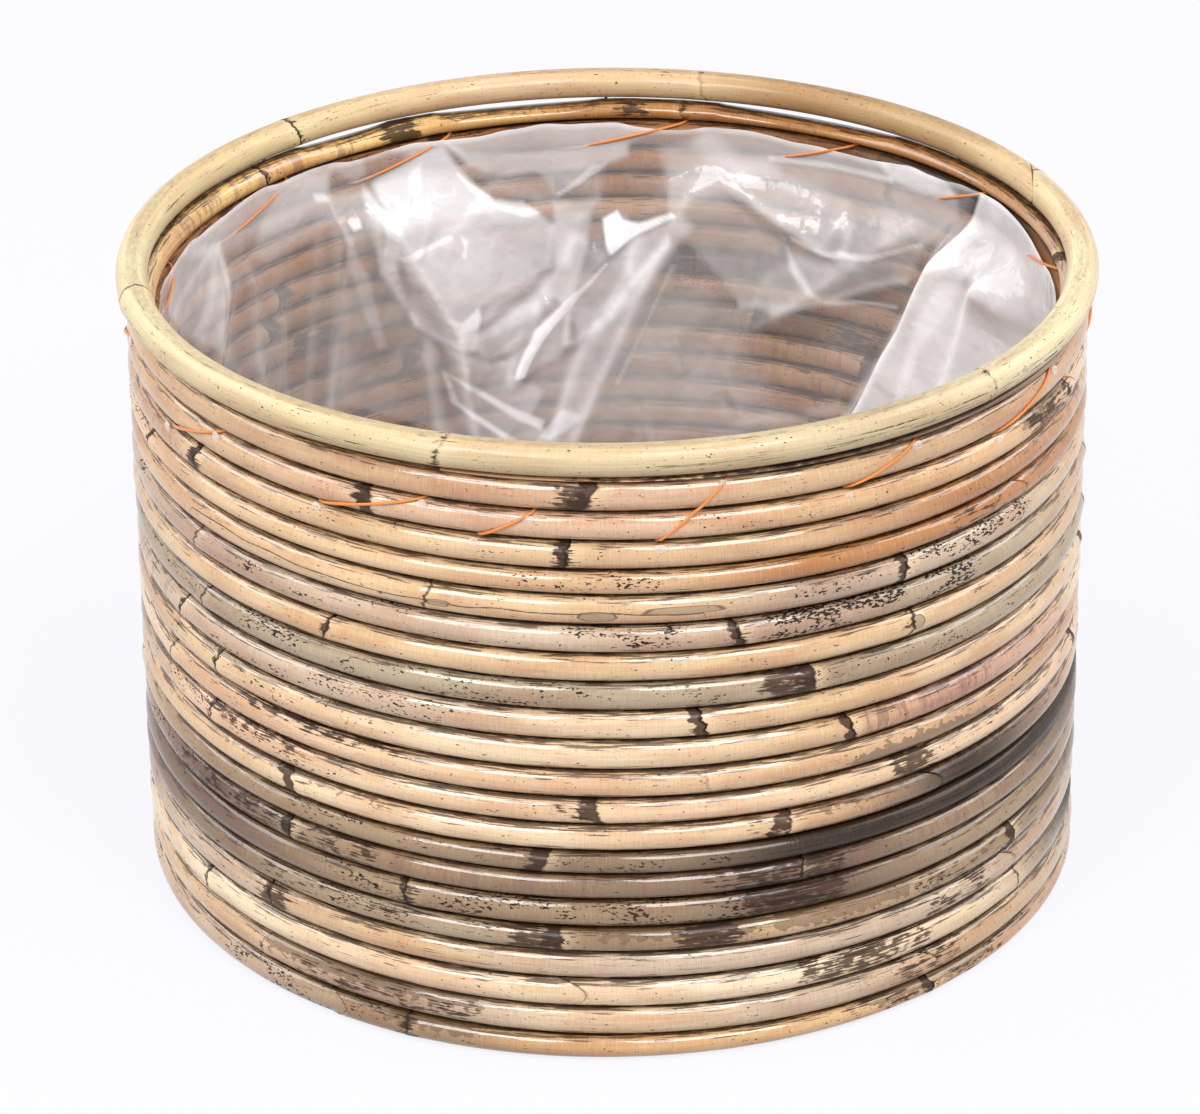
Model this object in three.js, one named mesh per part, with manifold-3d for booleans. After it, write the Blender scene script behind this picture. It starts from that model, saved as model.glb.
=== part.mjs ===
// A round planter of coiled rattan cane, modelled the way it is made.
// The wall is one long coil of cane, spliced from several poles, laid turn on turn and pared thin at both
// ends. A thicker cane ring caps it. Split slats on two bearers close the bottom, and a thread sews in a
// liner of film.
// Millimetres, +Z up. The origin is on the floor, under the middle of the planter. The front looks along -Y.
import * as THREE from "three";
import { mergeVertices } from "three/addons/utils/BufferGeometryUtils.js";
import Module from "manifold-3d";

const wasm = await Module();
wasm.setup();

// Overall sizes
const RIM_OUTER_DIAMETER = 400;
const OVERALL_HEIGHT = 270;

// Canes
const RIM_CANE_THICKNESS = 13;
const RIM_OVERHANG = 3; // how far the rim's centre line stands out past the wall's
const WALL_CANE_WIDTH = 12.2;
const TURN_GAP = 0.5; // between one turn and the next
const SEAT_GAP = 0.3; // between two pieces that bear on each other

// The coil: its angle is measured counter-clockwise from +X, and its length is counted in turns from its
// start
const COIL_START_ANGLE = -109;
const COIL_TURNS = 21.72; // the canes' height follows from this and the overall height
const START_TIP_THICKNESS = 1.2;
const END_TIP_THICKNESS = 1.2;
const START_DIP_TURNS = 0.2; // the stretch over which the first turn dives under its own start
// Where the first turn sags away from the rim between two brads: the middle of the sag and its half width
const SAG_DEPTH = 1.7;
const SAGS = [{ angle: 62, halfWidth: 13 }, { angle: 102, halfWidth: 11 }, { angle: 127, halfWidth: 7 }];
const SPLICES_AT_TURN = [2.25, 4.2, 7.6, 10.6, 13.15, 15.6, 18.2, 19.05, 20.15, 20.95];
const SCARF_LENGTH = 28;
const SCARF_GAP = 1; // along the cane, between the two faces of a scarf
const SECTION_SIDES = 8;
const RIM_SCARF_ANGLE = 22;
const STEPS_PER_TURN = 24;

// Brads: thin headless nails, each in a hole of its own
const BRAD_RADIUS = 0.8;
const BRAD_HOLE_RADIUS = 1.3;
const BRAD_TIP_LENGTH = 2;
const BRAD_SINK_DEPTH = 0.4; // of its blunt end below the surface, and of its hole past its point
const RIM_BRAD_LENGTH = 27;
const RIM_BRAD_ANGLES = [-150, -100, -62, -20, 38, 90, 140, 168];
const SPLICE_BRAD_LENGTH = 8.4;
const BEARER_BRAD_LENGTH = 28;

// Floor of split slats on two bearers
const BEARER_WIDTH = 12;
const BEARER_HEIGHT = 11;
const BEARER_FOOT_CLEARANCE = 1.5; // the bearers hang clear of what the planter stands on
const BEARER_SPACING = 190;
const SLAT_COUNT = 13;
const SLAT_WIDTH = 24;
const SLAT_THICKNESS = 7;
const SLAT_END_CLEARANCE = 0.5;

// Liner of clear film, sewn to the wall along its hem
const LINER_WALL = 0.8;
const LINER_CLEARANCE = 1; // between the film and the canes, at its corners
const LINER_HEM_DROP = 8; // how far the hem stays below the rim
const LINER_CORNER = 9;
const LINER_STEPS_PER_FACE = 2; // how many strips of film lie over each flat face of the coil
const LINER_FOLD_ROWS = 8;
const LINER_FOLD_DEPTH = 8.8; // how far the deepest fold stands off the wall
const LINER_FOLD_FADE = 16; // over which the folds start and end
const LINER_PINNED_DEPTH = 24; // how far below the rim the stitches hold the film flat
// The film's main folds. Each ridge runs from an angle and a height to another, the heights as shares of
// the liner's own. Then come its depth at both ends as shares of the deepest, and the widths of its flanks
// to the left and the right, seen from inside
const LINER_FOLDS = [
  { from: [128, 0.98], to: [120, 0.77], depth: [0.4, 0.9], flanks: [24, 60] },
  { from: [120, 0.77], to: [113, 0.59], depth: [0.9, 1.0], flanks: [24, 66] },
  { from: [113, 0.59], to: [108, 0.09], depth: [1.0, 0.8], flanks: [24, 60] },
  { from: [131, 0.98], to: [136, 0.17], depth: [0.2, 0.5], flanks: [20, 34] },
  { from: [77, 0.9], to: [97, 0.31], depth: [0.4, 0.9], flanks: [24, 40] },
  { from: [87, 0.97], to: [57, 0.8], depth: [0.2, 0.6], flanks: [20, 24] },
  { from: [46, 0.85], to: [64, 0.65], depth: [0.4, 0.6], flanks: [20, 24] },
  { from: [33, 1.0], to: [43, 0.81], depth: [0.8, 1.0], flanks: [22, 70] },
  { from: [43, 0.81], to: [53, 0.39], depth: [1.0, 1.0], flanks: [22, 76] },
  { from: [154, 0.95], to: [166, 0.57], depth: [0.2, 0.6], flanks: [20, 24] },
  { from: [150, 0.96], to: [148, 0.31], depth: [0.2, 0.6], flanks: [20, 26] },
  { from: [-178, 0.98], to: [-168, 0.17], depth: [0.2, 0.7], flanks: [22, 50] },
  { from: [-150, 0.98], to: [-158, 0.17], depth: [0.3, 0.9], flanks: [22, 44] },
  { from: [-120, 0.96], to: [-106, 0.17], depth: [0.2, 0.8], flanks: [22, 50] },
  { from: [-92, 0.98], to: [-84, 0.22], depth: [0.2, 0.7], flanks: [22, 40] },
  { from: [-66, 0.96], to: [-60, 0.17], depth: [0.3, 0.9], flanks: [22, 40] },
  { from: [-34, 0.98], to: [-42, 0.17], depth: [0.3, 0.8], flanks: [22, 46] },
  { from: [-8, 0.98], to: [-14, 0.17], depth: [0.3, 0.9], flanks: [22, 44] },
];

// The stitching thread
const THREAD_RADIUS = 0.6;
const THREAD_NOTCH_RADIUS = 1;
const THREAD_STANDOFF = 0.35; // between the thread and what it crosses
const UPPER_STITCH_DEPTH = 10; // how far below the rim the stitches come back in, in the nearest groove
const LOWER_STITCH_DEPTH = 21; // how far below the rim they go out, in the nearest groove
const LEAST_CANE_HEIGHT_TO_STITCH_UNDER = 2.2;
// Each stitch: the angle where the thread comes out, and the angle where it goes back in
const STITCHES = [
  [-155.4, -148.3], [-128.3, -114.0], [-106.8, -100.0], [-84.8, -76.0], [-61.4, -50.5], [-34.4, -23.0],
  [-8.0, 4.5], [18.0, 27.5], [42.0, 51.0], [66.0, 76.5], [97.0, 112.0], [124.0, 136.5], [149.0, 158.0],
  [173.0, 186.0],
];

// Worked out from the sizes above
const RIM_RADIUS = RIM_OUTER_DIAMETER / 2 - RIM_CANE_THICKNESS / 2;
const WALL_RADIUS = RIM_RADIUS - RIM_OVERHANG;
const WALL_INNER_RADIUS = WALL_RADIUS - WALL_CANE_WIDTH / 2;
const WALL_OUTER_RADIUS = WALL_RADIUS + WALL_CANE_WIDTH / 2;
const RIM_BOTTOM = OVERALL_HEIGHT - RIM_CANE_THICKNESS;
const WALL_TOP = RIM_BOTTOM - SEAT_GAP;
const TURN_PITCH = (WALL_TOP - START_TIP_THICKNESS - TURN_GAP - END_TIP_THICKNESS) / (COIL_TURNS - 1);
const BEARER_TOP = BEARER_FOOT_CLEARANCE + BEARER_HEIGHT;
const SLAT_BOTTOM = BEARER_TOP + SEAT_GAP;
const SLAT_TOP = SLAT_BOTTOM + SLAT_THICKNESS;
const LINER_BOTTOM = SLAT_TOP + SEAT_GAP;
const LINER_OUTER_RADIUS = WALL_INNER_RADIUS - LINER_CLEARANCE;
const LINER_INNER_RADIUS = LINER_OUTER_RADIUS - LINER_WALL;
const LINER_TOP = WALL_TOP - LINER_HEM_DROP;

const FLOOR_COLOUR = 0xc9a67c;
const RIM_COLOUR = 0xd3b58c;
const THREAD_COLOUR = 0xc9783a;
const FILM_COLOUR = 0xf2f1ee;
const BRAD_COLOUR = 0x8d8a84;
const COIL_COLOURS = [
  0xcfa98a, 0xc6a384, 0xd2b184, 0xc08f55, 0xb9a08c, 0xb3a48a,
  0xcdb98c, 0xc9a08a, 0x9f9a72, 0x6f5a4c, 0xcdbd92,
];

// Angles and places

const toRadians = THREE.MathUtils.degToRad;

function polar(radius, angle, z) {
  return new THREE.Vector3(radius * Math.cos(angle), radius * Math.sin(angle), z);
}

function coilAngle(turn) {
  return toRadians(COIL_START_ANGLE) + turn * 2 * Math.PI;
}

// How far round its first turn the coil is at an angle in radians, from 0 to 1
function turnFraction(angle) {
  const fraction = (angle - toRadians(COIL_START_ANGLE)) / (2 * Math.PI);
  return fraction - Math.floor(fraction);
}

// The coil's underside falls by one cane a turn until it reaches the floor
function coilUnderside(turn) {
  return Math.max(0, WALL_TOP - START_TIP_THICKNESS - TURN_PITCH * turn);
}

function sagUnderRim(turn) {
  const angle = THREE.MathUtils.radToDeg(coilAngle(turn));
  const sag = SAGS.find((one) => Math.abs(angle - one.angle) < one.halfWidth);
  return sag ? SAG_DEPTH * Math.cos((Math.PI / 2) * ((angle - sag.angle) / sag.halfWidth)) ** 0.5 : 0;
}

// The first turn is pared flat to fit under the rim, sags here and there, and dips under its own start
function coilTop(turn) {
  if (turn >= 1) return coilUnderside(turn - 1) - TURN_GAP;
  const dip = Math.max(0, (turn - 1 + START_DIP_TURNS) / START_DIP_TURNS);
  return WALL_TOP - dip * (START_TIP_THICKNESS + TURN_GAP) - sagUnderRim(turn);
}

// The distance from the axis to the flat faces between the coil's corners, for a corner radius
function facetRadius(cornerRadius, angle) {
  const step = (2 * Math.PI) / STEPS_PER_TURN;
  const fromMiddle = (((angle % step) + step) % step) - step / 2;
  return (cornerRadius * Math.cos(step / 2)) / Math.cos(fromMiddle);
}

// The same distance at the middle of a face, where it is least
function flatRadius(cornerRadius) {
  return facetRadius(cornerRadius, Math.PI / STEPS_PER_TURN);
}

// Solids

// A closed geometry from vertices and triangles, turned so that its faces point outwards
function closedGeometry(points, triangles) {
  let volume = 0;
  for (const [a, b, c] of triangles) {
    volume += points[a].dot(new THREE.Vector3().crossVectors(points[b], points[c]));
  }
  const numbers = points.flatMap((point) => point.toArray());
  const geometry = new THREE.BufferGeometry();
  geometry.setAttribute("position", new THREE.Float32BufferAttribute(numbers, 3));
  geometry.setIndex(triangles.flatMap(([a, b, c]) => (volume < 0 ? [a, c, b] : [a, b, c])));
  geometry.computeVertexNormals();
  return geometry;
}

// A tube through rings of points. Its ends are capped, or it runs into itself where closed is true
function tubeThrough(rings, closed = false) {
  const sides = rings[0].length;
  const triangles = [];
  const spans = closed ? rings.length : rings.length - 1;
  for (let span = 0; span < spans; span++) {
    const here = span * sides;
    const next = ((span + 1) % rings.length) * sides;
    for (let side = 0; side < sides; side++) {
      const beside = (side + 1) % sides;
      triangles.push([here + side, next + side, next + beside]);
      triangles.push([here + side, next + beside, here + beside]);
    }
  }
  if (!closed) {
    const last = (rings.length - 1) * sides;
    for (let side = 1; side < sides - 1; side++) {
      triangles.push([0, side, side + 1]);
      triangles.push([last, last + side + 1, last + side]);
    }
  }
  return closedGeometry(rings.flat(), triangles);
}

function toManifold(geometry) {
  const plain = geometry.clone();
  plain.deleteAttribute("normal");
  plain.deleteAttribute("uv");
  const merged = mergeVertices(plain, 1e-4);
  return new wasm.Manifold(new wasm.Mesh({
    numProp: 3,
    vertProperties: new Float32Array(merged.attributes.position.array),
    triVerts: new Uint32Array(merged.index.array),
  }));
}

function fromManifold(manifold) {
  const mesh = manifold.getMesh();
  const geometry = new THREE.BufferGeometry();
  geometry.setAttribute("position", new THREE.BufferAttribute(new Float32Array(mesh.vertProperties), 3));
  geometry.setIndex([...mesh.triVerts]);
  geometry.computeVertexNormals();
  return geometry;
}

// Canes

// The corners of a cane's section: across runs outwards from the axis, up runs upwards, both from -1 to 1
const HALF_SIDE = Math.PI / SECTION_SIDES;
const SECTION_CORNERS = Array.from({ length: SECTION_SIDES }, (_, index) => {
  const angle = HALF_SIDE + index * 2 * HALF_SIDE;
  return { across: Math.cos(angle) / Math.cos(HALF_SIDE), up: Math.sin(angle) / Math.cos(HALF_SIDE) };
});

// One ring of corners. The slant moves the outer side on along the cane, and the inner side back, in radians
function caneRing(turn, cane, slant = 0, shift = 0) {
  return SECTION_CORNERS.map(({ across, up }) => {
    const turnHere = turn + (slant * across + shift) / (2 * Math.PI);
    const top = cane.top(turnHere);
    const bottom = cane.bottom(turnHere);
    const radius = cane.radius + (across * cane.width) / 2;
    return polar(radius, coilAngle(turnHere), (top + bottom) / 2 + (up * (top - bottom)) / 2);
  });
}

// The turns at which a cane has a ring between its two ends, all at the same angles round the planter
function stationsBetween(from, to) {
  const offset = COIL_START_ANGLE / 360;
  const stations = [];
  for (let step = Math.ceil((from + offset) * STEPS_PER_TURN); step / STEPS_PER_TURN < to + offset; step++) {
    stations.push(step / STEPS_PER_TURN - offset);
  }
  return stations;
}

// A bent cane. An end with a scarf is cut on a slant, with the outer tongue on the side that runs on
function bentCane(cane) {
  const slant = SCARF_LENGTH / 2 / cane.radius;
  const shift = SCARF_GAP / 2 / cane.radius;
  const reach = (slant + shift) / (2 * Math.PI) + 0.2 / STEPS_PER_TURN;
  const from = cane.startScarf ? cane.from + reach : cane.from + 0.1 / STEPS_PER_TURN;
  const to = cane.endScarf ? cane.to - reach : cane.to - 0.1 / STEPS_PER_TURN;
  const rings = [
    cane.startScarf ? caneRing(cane.from, cane, slant, shift) : caneRing(cane.from, cane),
    ...stationsBetween(from, to).map((turn) => caneRing(turn, cane)),
    cane.endScarf ? caneRing(cane.to, cane, slant, -shift) : caneRing(cane.to, cane),
  ];
  return { rings, geometry: tubeThrough(rings) };
}

// A splice sits half way between two stations, so that its slant has a clear step of the coil to itself
function atHalfStep(turn) {
  const offset = COIL_START_ANGLE / 360;
  return (Math.floor((turn + offset) * STEPS_PER_TURN) + 0.5) / STEPS_PER_TURN - offset;
}

const splices = SPLICES_AT_TURN.map(atHalfStep).filter((turn) => turn < COIL_TURNS - 0.3);

function wallCanes() {
  const ends = [0, ...splices, COIL_TURNS];
  return ends.slice(1).map((to, index) => ({
    from: ends[index],
    to,
    startScarf: index > 0,
    endScarf: index < splices.length,
    radius: WALL_RADIUS,
    width: WALL_CANE_WIDTH,
    top: coilTop,
    bottom: coilUnderside,
  }));
}

function rimCane() {
  const from = atHalfStep(turnFraction(toRadians(RIM_SCARF_ANGLE)));
  return {
    from,
    to: from + 1,
    startScarf: true,
    endScarf: true,
    radius: RIM_RADIUS,
    width: RIM_CANE_THICKNESS,
    top: () => OVERALL_HEIGHT,
    bottom: () => RIM_BOTTOM,
  };
}

// Brads and their holes

// A brad lies along an axis, from its blunt end at place, with its point first
function bradGeometry(length) {
  const profile = [
    new THREE.Vector2(0, 0),
    new THREE.Vector2(BRAD_RADIUS, 0),
    new THREE.Vector2(BRAD_RADIUS, length - BRAD_TIP_LENGTH),
    new THREE.Vector2(0, length),
  ];
  return new THREE.LatheGeometry(profile, 6);
}

function turnedAlong(direction) {
  return new THREE.Quaternion().setFromUnitVectors(new THREE.Vector3(0, 1, 0), direction);
}

function hole(place, direction, from, to, radius) {
  const geometry = new THREE.CylinderGeometry(radius, radius, to - from, 6);
  geometry.translate(0, (from + to) / 2, 0);
  geometry.applyQuaternion(turnedAlong(direction));
  geometry.translate(place.x, place.y, place.z);
  return toManifold(geometry);
}

// Rim brads go straight down, half way between the rim's centre line and the wall's
function rimBrads() {
  return RIM_BRAD_ANGLES.map((angle, index) => ({
    name: `rim_brad_${index + 1}`,
    place: polar(RIM_RADIUS - RIM_OVERHANG / 2, toRadians(angle), OVERALL_HEIGHT - BRAD_SINK_DEPTH),
    direction: new THREE.Vector3(0, 0, -1),
    length: RIM_BRAD_LENGTH,
  }));
}

// Splice brads go in from the outside, through both tongues of a scarf
function spliceBrads() {
  return splices.map((turn, index) => {
    const angle = coilAngle(turn);
    const z = (coilTop(turn) + coilUnderside(turn)) / 2;
    return {
      name: `splice_brad_${index + 1}`,
      place: polar(flatRadius(WALL_OUTER_RADIUS) - BRAD_SINK_DEPTH, angle, z),
      direction: polar(-1, angle, 0),
      length: SPLICE_BRAD_LENGTH,
    };
  });
}

// Bearer brads go through the wall's lowest turns into the ends of the bearers
function bearerBrads() {
  const z = BEARER_FOOT_CLEARANCE + BEARER_HEIGHT / 2;
  const brads = [];
  for (const y of [-BEARER_SPACING / 2, BEARER_SPACING / 2]) {
    for (const side of [-1, 1]) {
      const x = Math.sqrt(flatRadius(WALL_OUTER_RADIUS) ** 2 - y ** 2) - BRAD_SINK_DEPTH;
      brads.push({
        name: `bearer_brad_${brads.length + 1}`,
        place: new THREE.Vector3(side * x, y, z),
        direction: new THREE.Vector3(-side, 0, 0),
        length: BEARER_BRAD_LENGTH,
      });
    }
  }
  return brads;
}

const brads = [...rimBrads(), ...spliceBrads(), ...bearerBrads()];

// Each hole starts outside the cane, so that it opens the surface cleanly
function bradHoles() {
  const outsideReach = WALL_CANE_WIDTH / 2;
  return brads.map((brad) =>
    hole(brad.place, brad.direction, -outsideReach, brad.length + BRAD_SINK_DEPTH, BRAD_HOLE_RADIUS));
}

// The thread's route

// The groove nearest to a depth below the rim: its notch is cut in the top of the lower cane
function threadNotch(angle, depth) {
  const fraction = turnFraction(angle);
  let best = null;
  for (let turn = fraction; turn < fraction + 4; turn++) {
    const above = coilUnderside(turn);
    if (coilTop(turn) - above < LEAST_CANE_HEIGHT_TO_STITCH_UNDER) continue;
    const miss = Math.abs(WALL_TOP - above - depth);
    if (!best || miss < best.miss) best = { miss, z: above - TURN_GAP - THREAD_RADIUS };
  }
  return best.z;
}

function stitchEnds() {
  return STITCHES.map(([out, back]) => ({
    out: toRadians(out),
    back: toRadians(back),
    outZ: threadNotch(toRadians(out), LOWER_STITCH_DEPTH),
    backZ: threadNotch(toRadians(back), UPPER_STITCH_DEPTH),
  }));
}

const stitches = stitchEnds();

function threadHoles() {
  const from = LINER_INNER_RADIUS - WALL_CANE_WIDTH / 2;
  const length = RIM_OUTER_DIAMETER / 2 + WALL_CANE_WIDTH / 2 - from;
  const holes = [];
  for (const stitch of stitches) {
    for (const [angle, z] of [[stitch.out, stitch.outZ], [stitch.back, stitch.backZ]]) {
      holes.push(hole(polar(from, angle, z), polar(1, angle, 0), 0, length, THREAD_NOTCH_RADIUS));
    }
  }
  return holes;
}

// The route's points, once round: across the outside, in through a notch, along the inside, and out again
function threadRoute() {
  const outside = WALL_OUTER_RADIUS + THREAD_RADIUS + THREAD_STANDOFF;
  const inside = flatRadius(LINER_INNER_RADIUS) - THREAD_RADIUS - THREAD_STANDOFF;
  const bend = THREAD_RADIUS * 1.2;
  const points = [];
  stitches.forEach((stitch, index) => {
    const next = stitches[(index + 1) % stitches.length];
    const nextOut = index + 1 < stitches.length ? next.out : next.out + 2 * Math.PI;
    const lift = (from, to, share) => from + (to - from) * share;
    const across = (radius, from, to, fromZ, toZ) => {
      const corner = bend / radius;
      points.push(polar(radius - Math.sign(radius - WALL_RADIUS) * bend, from, fromZ));
      points.push(polar(radius, from + corner, fromZ));
      for (const share of [0.3, 0.7]) {
        points.push(polar(radius, lift(from, to, share), lift(fromZ, toZ, share)));
      }
      points.push(polar(radius, to - corner, toZ));
      points.push(polar(radius - Math.sign(radius - WALL_RADIUS) * bend, to, toZ));
    };
    across(outside, stitch.out, stitch.back, stitch.outZ, stitch.backZ);
    across(inside, stitch.back, nextOut, stitch.backZ, next.outZ);
  });
  return points;
}

// A thread of six sides through the points of a closed route that never runs straight up
function closedThread(points, radius) {
  const rings = points.map((point, index) => {
    const before = points[(index + points.length - 1) % points.length];
    const after = points[(index + 1) % points.length];
    const ahead = new THREE.Vector3().subVectors(after, point).normalize()
      .add(new THREE.Vector3().subVectors(point, before).normalize()).normalize();
    const beside = new THREE.Vector3().crossVectors(ahead, new THREE.Vector3(0, 0, 1)).normalize();
    const above = new THREE.Vector3().crossVectors(beside, ahead);
    return Array.from({ length: 6 }, (_, side) => {
      const angle = (side * Math.PI) / 3;
      return point.clone()
        .addScaledVector(beside, radius * Math.cos(angle))
        .addScaledVector(above, radius * Math.sin(angle));
    });
  });
  return tubeThrough(rings, true);
}

// Floor

// The distance from the middle line of the floor to the wall's inner faces, at an offset across it
function reachToWall(offset, clearance) {
  let reach = Math.sqrt(WALL_INNER_RADIUS ** 2 - offset ** 2);
  for (let pass = 0; pass < 4; pass++) {
    const radius = facetRadius(WALL_INNER_RADIUS, Math.atan2(offset, reach)) - clearance;
    reach = Math.sqrt(radius ** 2 - offset ** 2);
  }
  return reach;
}

// A straight bar whose ends are trimmed to the round of the wall. The section is a list of [across, z]
function trimmedBar(section, offset) {
  const ends = [-1, 1].map((side) =>
    section.map(([across, z]) =>
      new THREE.Vector3(side * reachToWall(offset + across, SLAT_END_CLEARANCE), offset + across, z)));
  return tubeThrough(ends);
}

function bearerSection() {
  const half = BEARER_WIDTH / 2;
  const corner = BEARER_WIDTH * 0.3;
  return [
    [-half, BEARER_FOOT_CLEARANCE + corner], [-half + corner, BEARER_FOOT_CLEARANCE],
    [half - corner, BEARER_FOOT_CLEARANCE], [half, BEARER_FOOT_CLEARANCE + corner],
    [half, BEARER_TOP - corner], [half - corner, BEARER_TOP],
    [-half + corner, BEARER_TOP], [-half, BEARER_TOP - corner],
  ];
}

// A split cane: flat below, rounded above
function slatSection() {
  const half = SLAT_WIDTH / 2;
  return [
    [-half, SLAT_BOTTOM], [half, SLAT_BOTTOM], [half, SLAT_BOTTOM + SLAT_THICKNESS * 0.3],
    [half * 0.6, SLAT_BOTTOM + SLAT_THICKNESS * 0.82], [half * 0.2, SLAT_TOP], [-half * 0.2, SLAT_TOP],
    [-half * 0.6, SLAT_BOTTOM + SLAT_THICKNESS * 0.82], [-half, SLAT_BOTTOM + SLAT_THICKNESS * 0.3],
  ];
}

function slatOffsets() {
  const usable = 2 * flatRadius(WALL_INNER_RADIUS) - SLAT_WIDTH * 0.7;
  const pitch = usable / SLAT_COUNT;
  return Array.from({ length: SLAT_COUNT }, (_, index) => (index - (SLAT_COUNT - 1) / 2) * pitch);
}

// Liner

// How far the main folds stand off the wall here. The stitches hold the film flat above, the floor below
function foldDepth(angle, z) {
  const height = LINER_TOP - LINER_BOTTOM;
  const belowStitches = WALL_TOP - LINER_PINNED_DEPTH - z;
  const aboveFloor = z - LINER_BOTTOM - LINER_CORNER - LINER_WALL;
  const free = Math.min(belowStitches, aboveFloor);
  let deepest = 0;
  for (const fold of LINER_FOLDS) {
    for (const wholeTurn of [-2 * Math.PI, 0, 2 * Math.PI]) {
      const startX = (toRadians(fold.from[0]) + wholeTurn) * LINER_OUTER_RADIUS;
      const startZ = LINER_BOTTOM + fold.from[1] * height;
      const run = toRadians(fold.to[0] - fold.from[0]) * LINER_OUTER_RADIUS;
      const fall = (fold.to[1] - fold.from[1]) * height;
      const length = Math.hypot(run, fall);
      const x = angle * LINER_OUTER_RADIUS - startX;
      const along = (x * run + (z - startZ) * fall) / length;
      const beside = ((z - startZ) * run - x * fall) / length;
      const share = Math.min(1, Math.max(0, along / length));
      const depth = fold.depth[0] + (fold.depth[1] - fold.depth[0]) * share;
      const past = Math.max(0, -along, along - length) / LINER_FOLD_FADE;
      const flank = beside > 0 ? beside / fold.flanks[0] : -beside / fold.flanks[1];
      deepest = Math.max(deepest, depth * (1 - flank - past));
    }
  }
  const fade = Math.min(1, Math.max(0, free / LINER_FOLD_FADE));
  return LINER_FOLD_DEPTH * fade * deepest;
}

// One ring of the film's surface. It follows the coil's flat faces, less the folds
function linerRing(radius, z, folded) {
  const columns = STEPS_PER_TURN * LINER_STEPS_PER_FACE;
  return Array.from({ length: columns }, (_, column) => {
    const angle = (column / columns) * 2 * Math.PI;
    const depth = folded ? foldDepth(angle > Math.PI ? angle - 2 * Math.PI : angle, z) : 0;
    return polar(facetRadius(radius, angle) - depth, angle, z);
  });
}

// The bag's surface goes up the outside, over the hem and down the inside. Its floor closes it on both sides
function linerGeometry() {
  const foldFoot = LINER_BOTTOM + LINER_CORNER + LINER_WALL;
  const foldTop = WALL_TOP - LINER_PINNED_DEPTH;
  const heights = Array.from({ length: LINER_FOLD_ROWS + 1 }, (_, row) => (
    foldFoot + ((foldTop - foldFoot) * row) / LINER_FOLD_ROWS));
  const rings = [
    linerRing(LINER_OUTER_RADIUS - LINER_CORNER, LINER_BOTTOM, false),
    ...heights.map((z) => linerRing(LINER_OUTER_RADIUS, z, true)),
    linerRing(LINER_OUTER_RADIUS, LINER_TOP, false),
    linerRing(LINER_INNER_RADIUS, LINER_TOP, false),
    ...heights.toReversed().map((z) => linerRing(LINER_INNER_RADIUS, z, true)),
    linerRing(LINER_INNER_RADIUS - LINER_CORNER, LINER_BOTTOM + LINER_WALL, false),
  ];
  return tubeThrough(rings);
}

// Materials and placing

function material(color, roughness, metalness = 0, extra = {}) {
  return new THREE.MeshStandardMaterial({ color, roughness, metalness, ...extra });
}

function named(name, geometry, finish) {
  const mesh = new THREE.Mesh(geometry, finish);
  mesh.name = name;
  return mesh;
}

const wood = (color) => material(color, 0.35);
const steel = () => material(BRAD_COLOUR, 0.4, 1);

const allHoles = wasm.Manifold.union([...bradHoles(), ...threadHoles()]);

function drilled(geometry) {
  return fromManifold(toManifold(geometry).subtract(allHoles));
}

function wallGroup(canes) {
  const group = new THREE.Group();
  canes.forEach((cane, index) => {
    const color = COIL_COLOURS[index % COIL_COLOURS.length];
    group.add(named(`coil_cane_${index + 1}`, drilled(cane.geometry), wood(color)));
  });
  return group;
}

function rimGroup(rim) {
  const group = new THREE.Group();
  group.add(named("rim_cane", drilled(rim.geometry), wood(RIM_COLOUR)));
  return group;
}

function bradGroup() {
  const group = new THREE.Group();
  for (const brad of brads) {
    const mesh = named(brad.name, bradGeometry(brad.length), steel());
    mesh.position.copy(brad.place);
    mesh.quaternion.copy(turnedAlong(brad.direction));
    group.add(mesh);
  }
  return group;
}

function floorGroup() {
  const group = new THREE.Group();
  const bearers = [["base_bearer_front", -1], ["base_bearer_back", 1]];
  for (const [name, side] of bearers) {
    const bar = trimmedBar(bearerSection(), (side * BEARER_SPACING) / 2);
    group.add(named(name, drilled(bar), wood(FLOOR_COLOUR)));
  }
  slatOffsets().forEach((offset, index) => {
    const slat = trimmedBar(slatSection(), offset);
    slat.rotateZ(Math.PI / 2);
    group.add(named(`base_slat_${index + 1}`, slat, wood(FLOOR_COLOUR)));
  });
  return group;
}

function linerGroup() {
  const group = new THREE.Group();
  const film = material(FILM_COLOUR, 0.15, 0, { transparent: true, opacity: 0.35 });
  group.add(named("liner", drilled(linerGeometry()), film));
  const thread = closedThread(threadRoute(), THREAD_RADIUS);
  group.add(named("stitch_thread", thread, material(THREAD_COLOUR, 0.45)));
  return group;
}

// The least gap between turns, measured between the corners of the rings of the whole coil

function leastGapBetweenTurns(canes) {
  const rings = canes.flatMap((cane) => cane.rings);
  const middle = (ring) => ring.reduce((sum, point) => sum + point.z, 0) / ring.length;
  const lowest = (ring) => Math.min(...ring.map((point) => point.z));
  const highest = (ring) => Math.max(...ring.map((point) => point.z));
  let least = Infinity;
  for (const upper of rings) {
    for (const lower of rings) {
      const overEachOther = Math.hypot(upper[0].x - lower[0].x, upper[0].y - lower[0].y) < 1;
      if (!overEachOther || middle(lower) > middle(upper) - 1) continue;
      least = Math.min(least, lowest(upper) - highest(lower));
    }
  }
  return least;
}

const canes = wallCanes().map(bentCane);
console.log(`coil of ${COIL_TURNS.toFixed(2)} turns, least gap between turns`,
  `${leastGapBetweenTurns(canes).toFixed(2)} mm`);

const planter = new THREE.Group();
planter.name = "rattan_planter";
planter.add(wallGroup(canes), rimGroup(bentCane(rimCane())), bradGroup(), floorGroup(), linerGroup());

export default planter;
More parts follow.
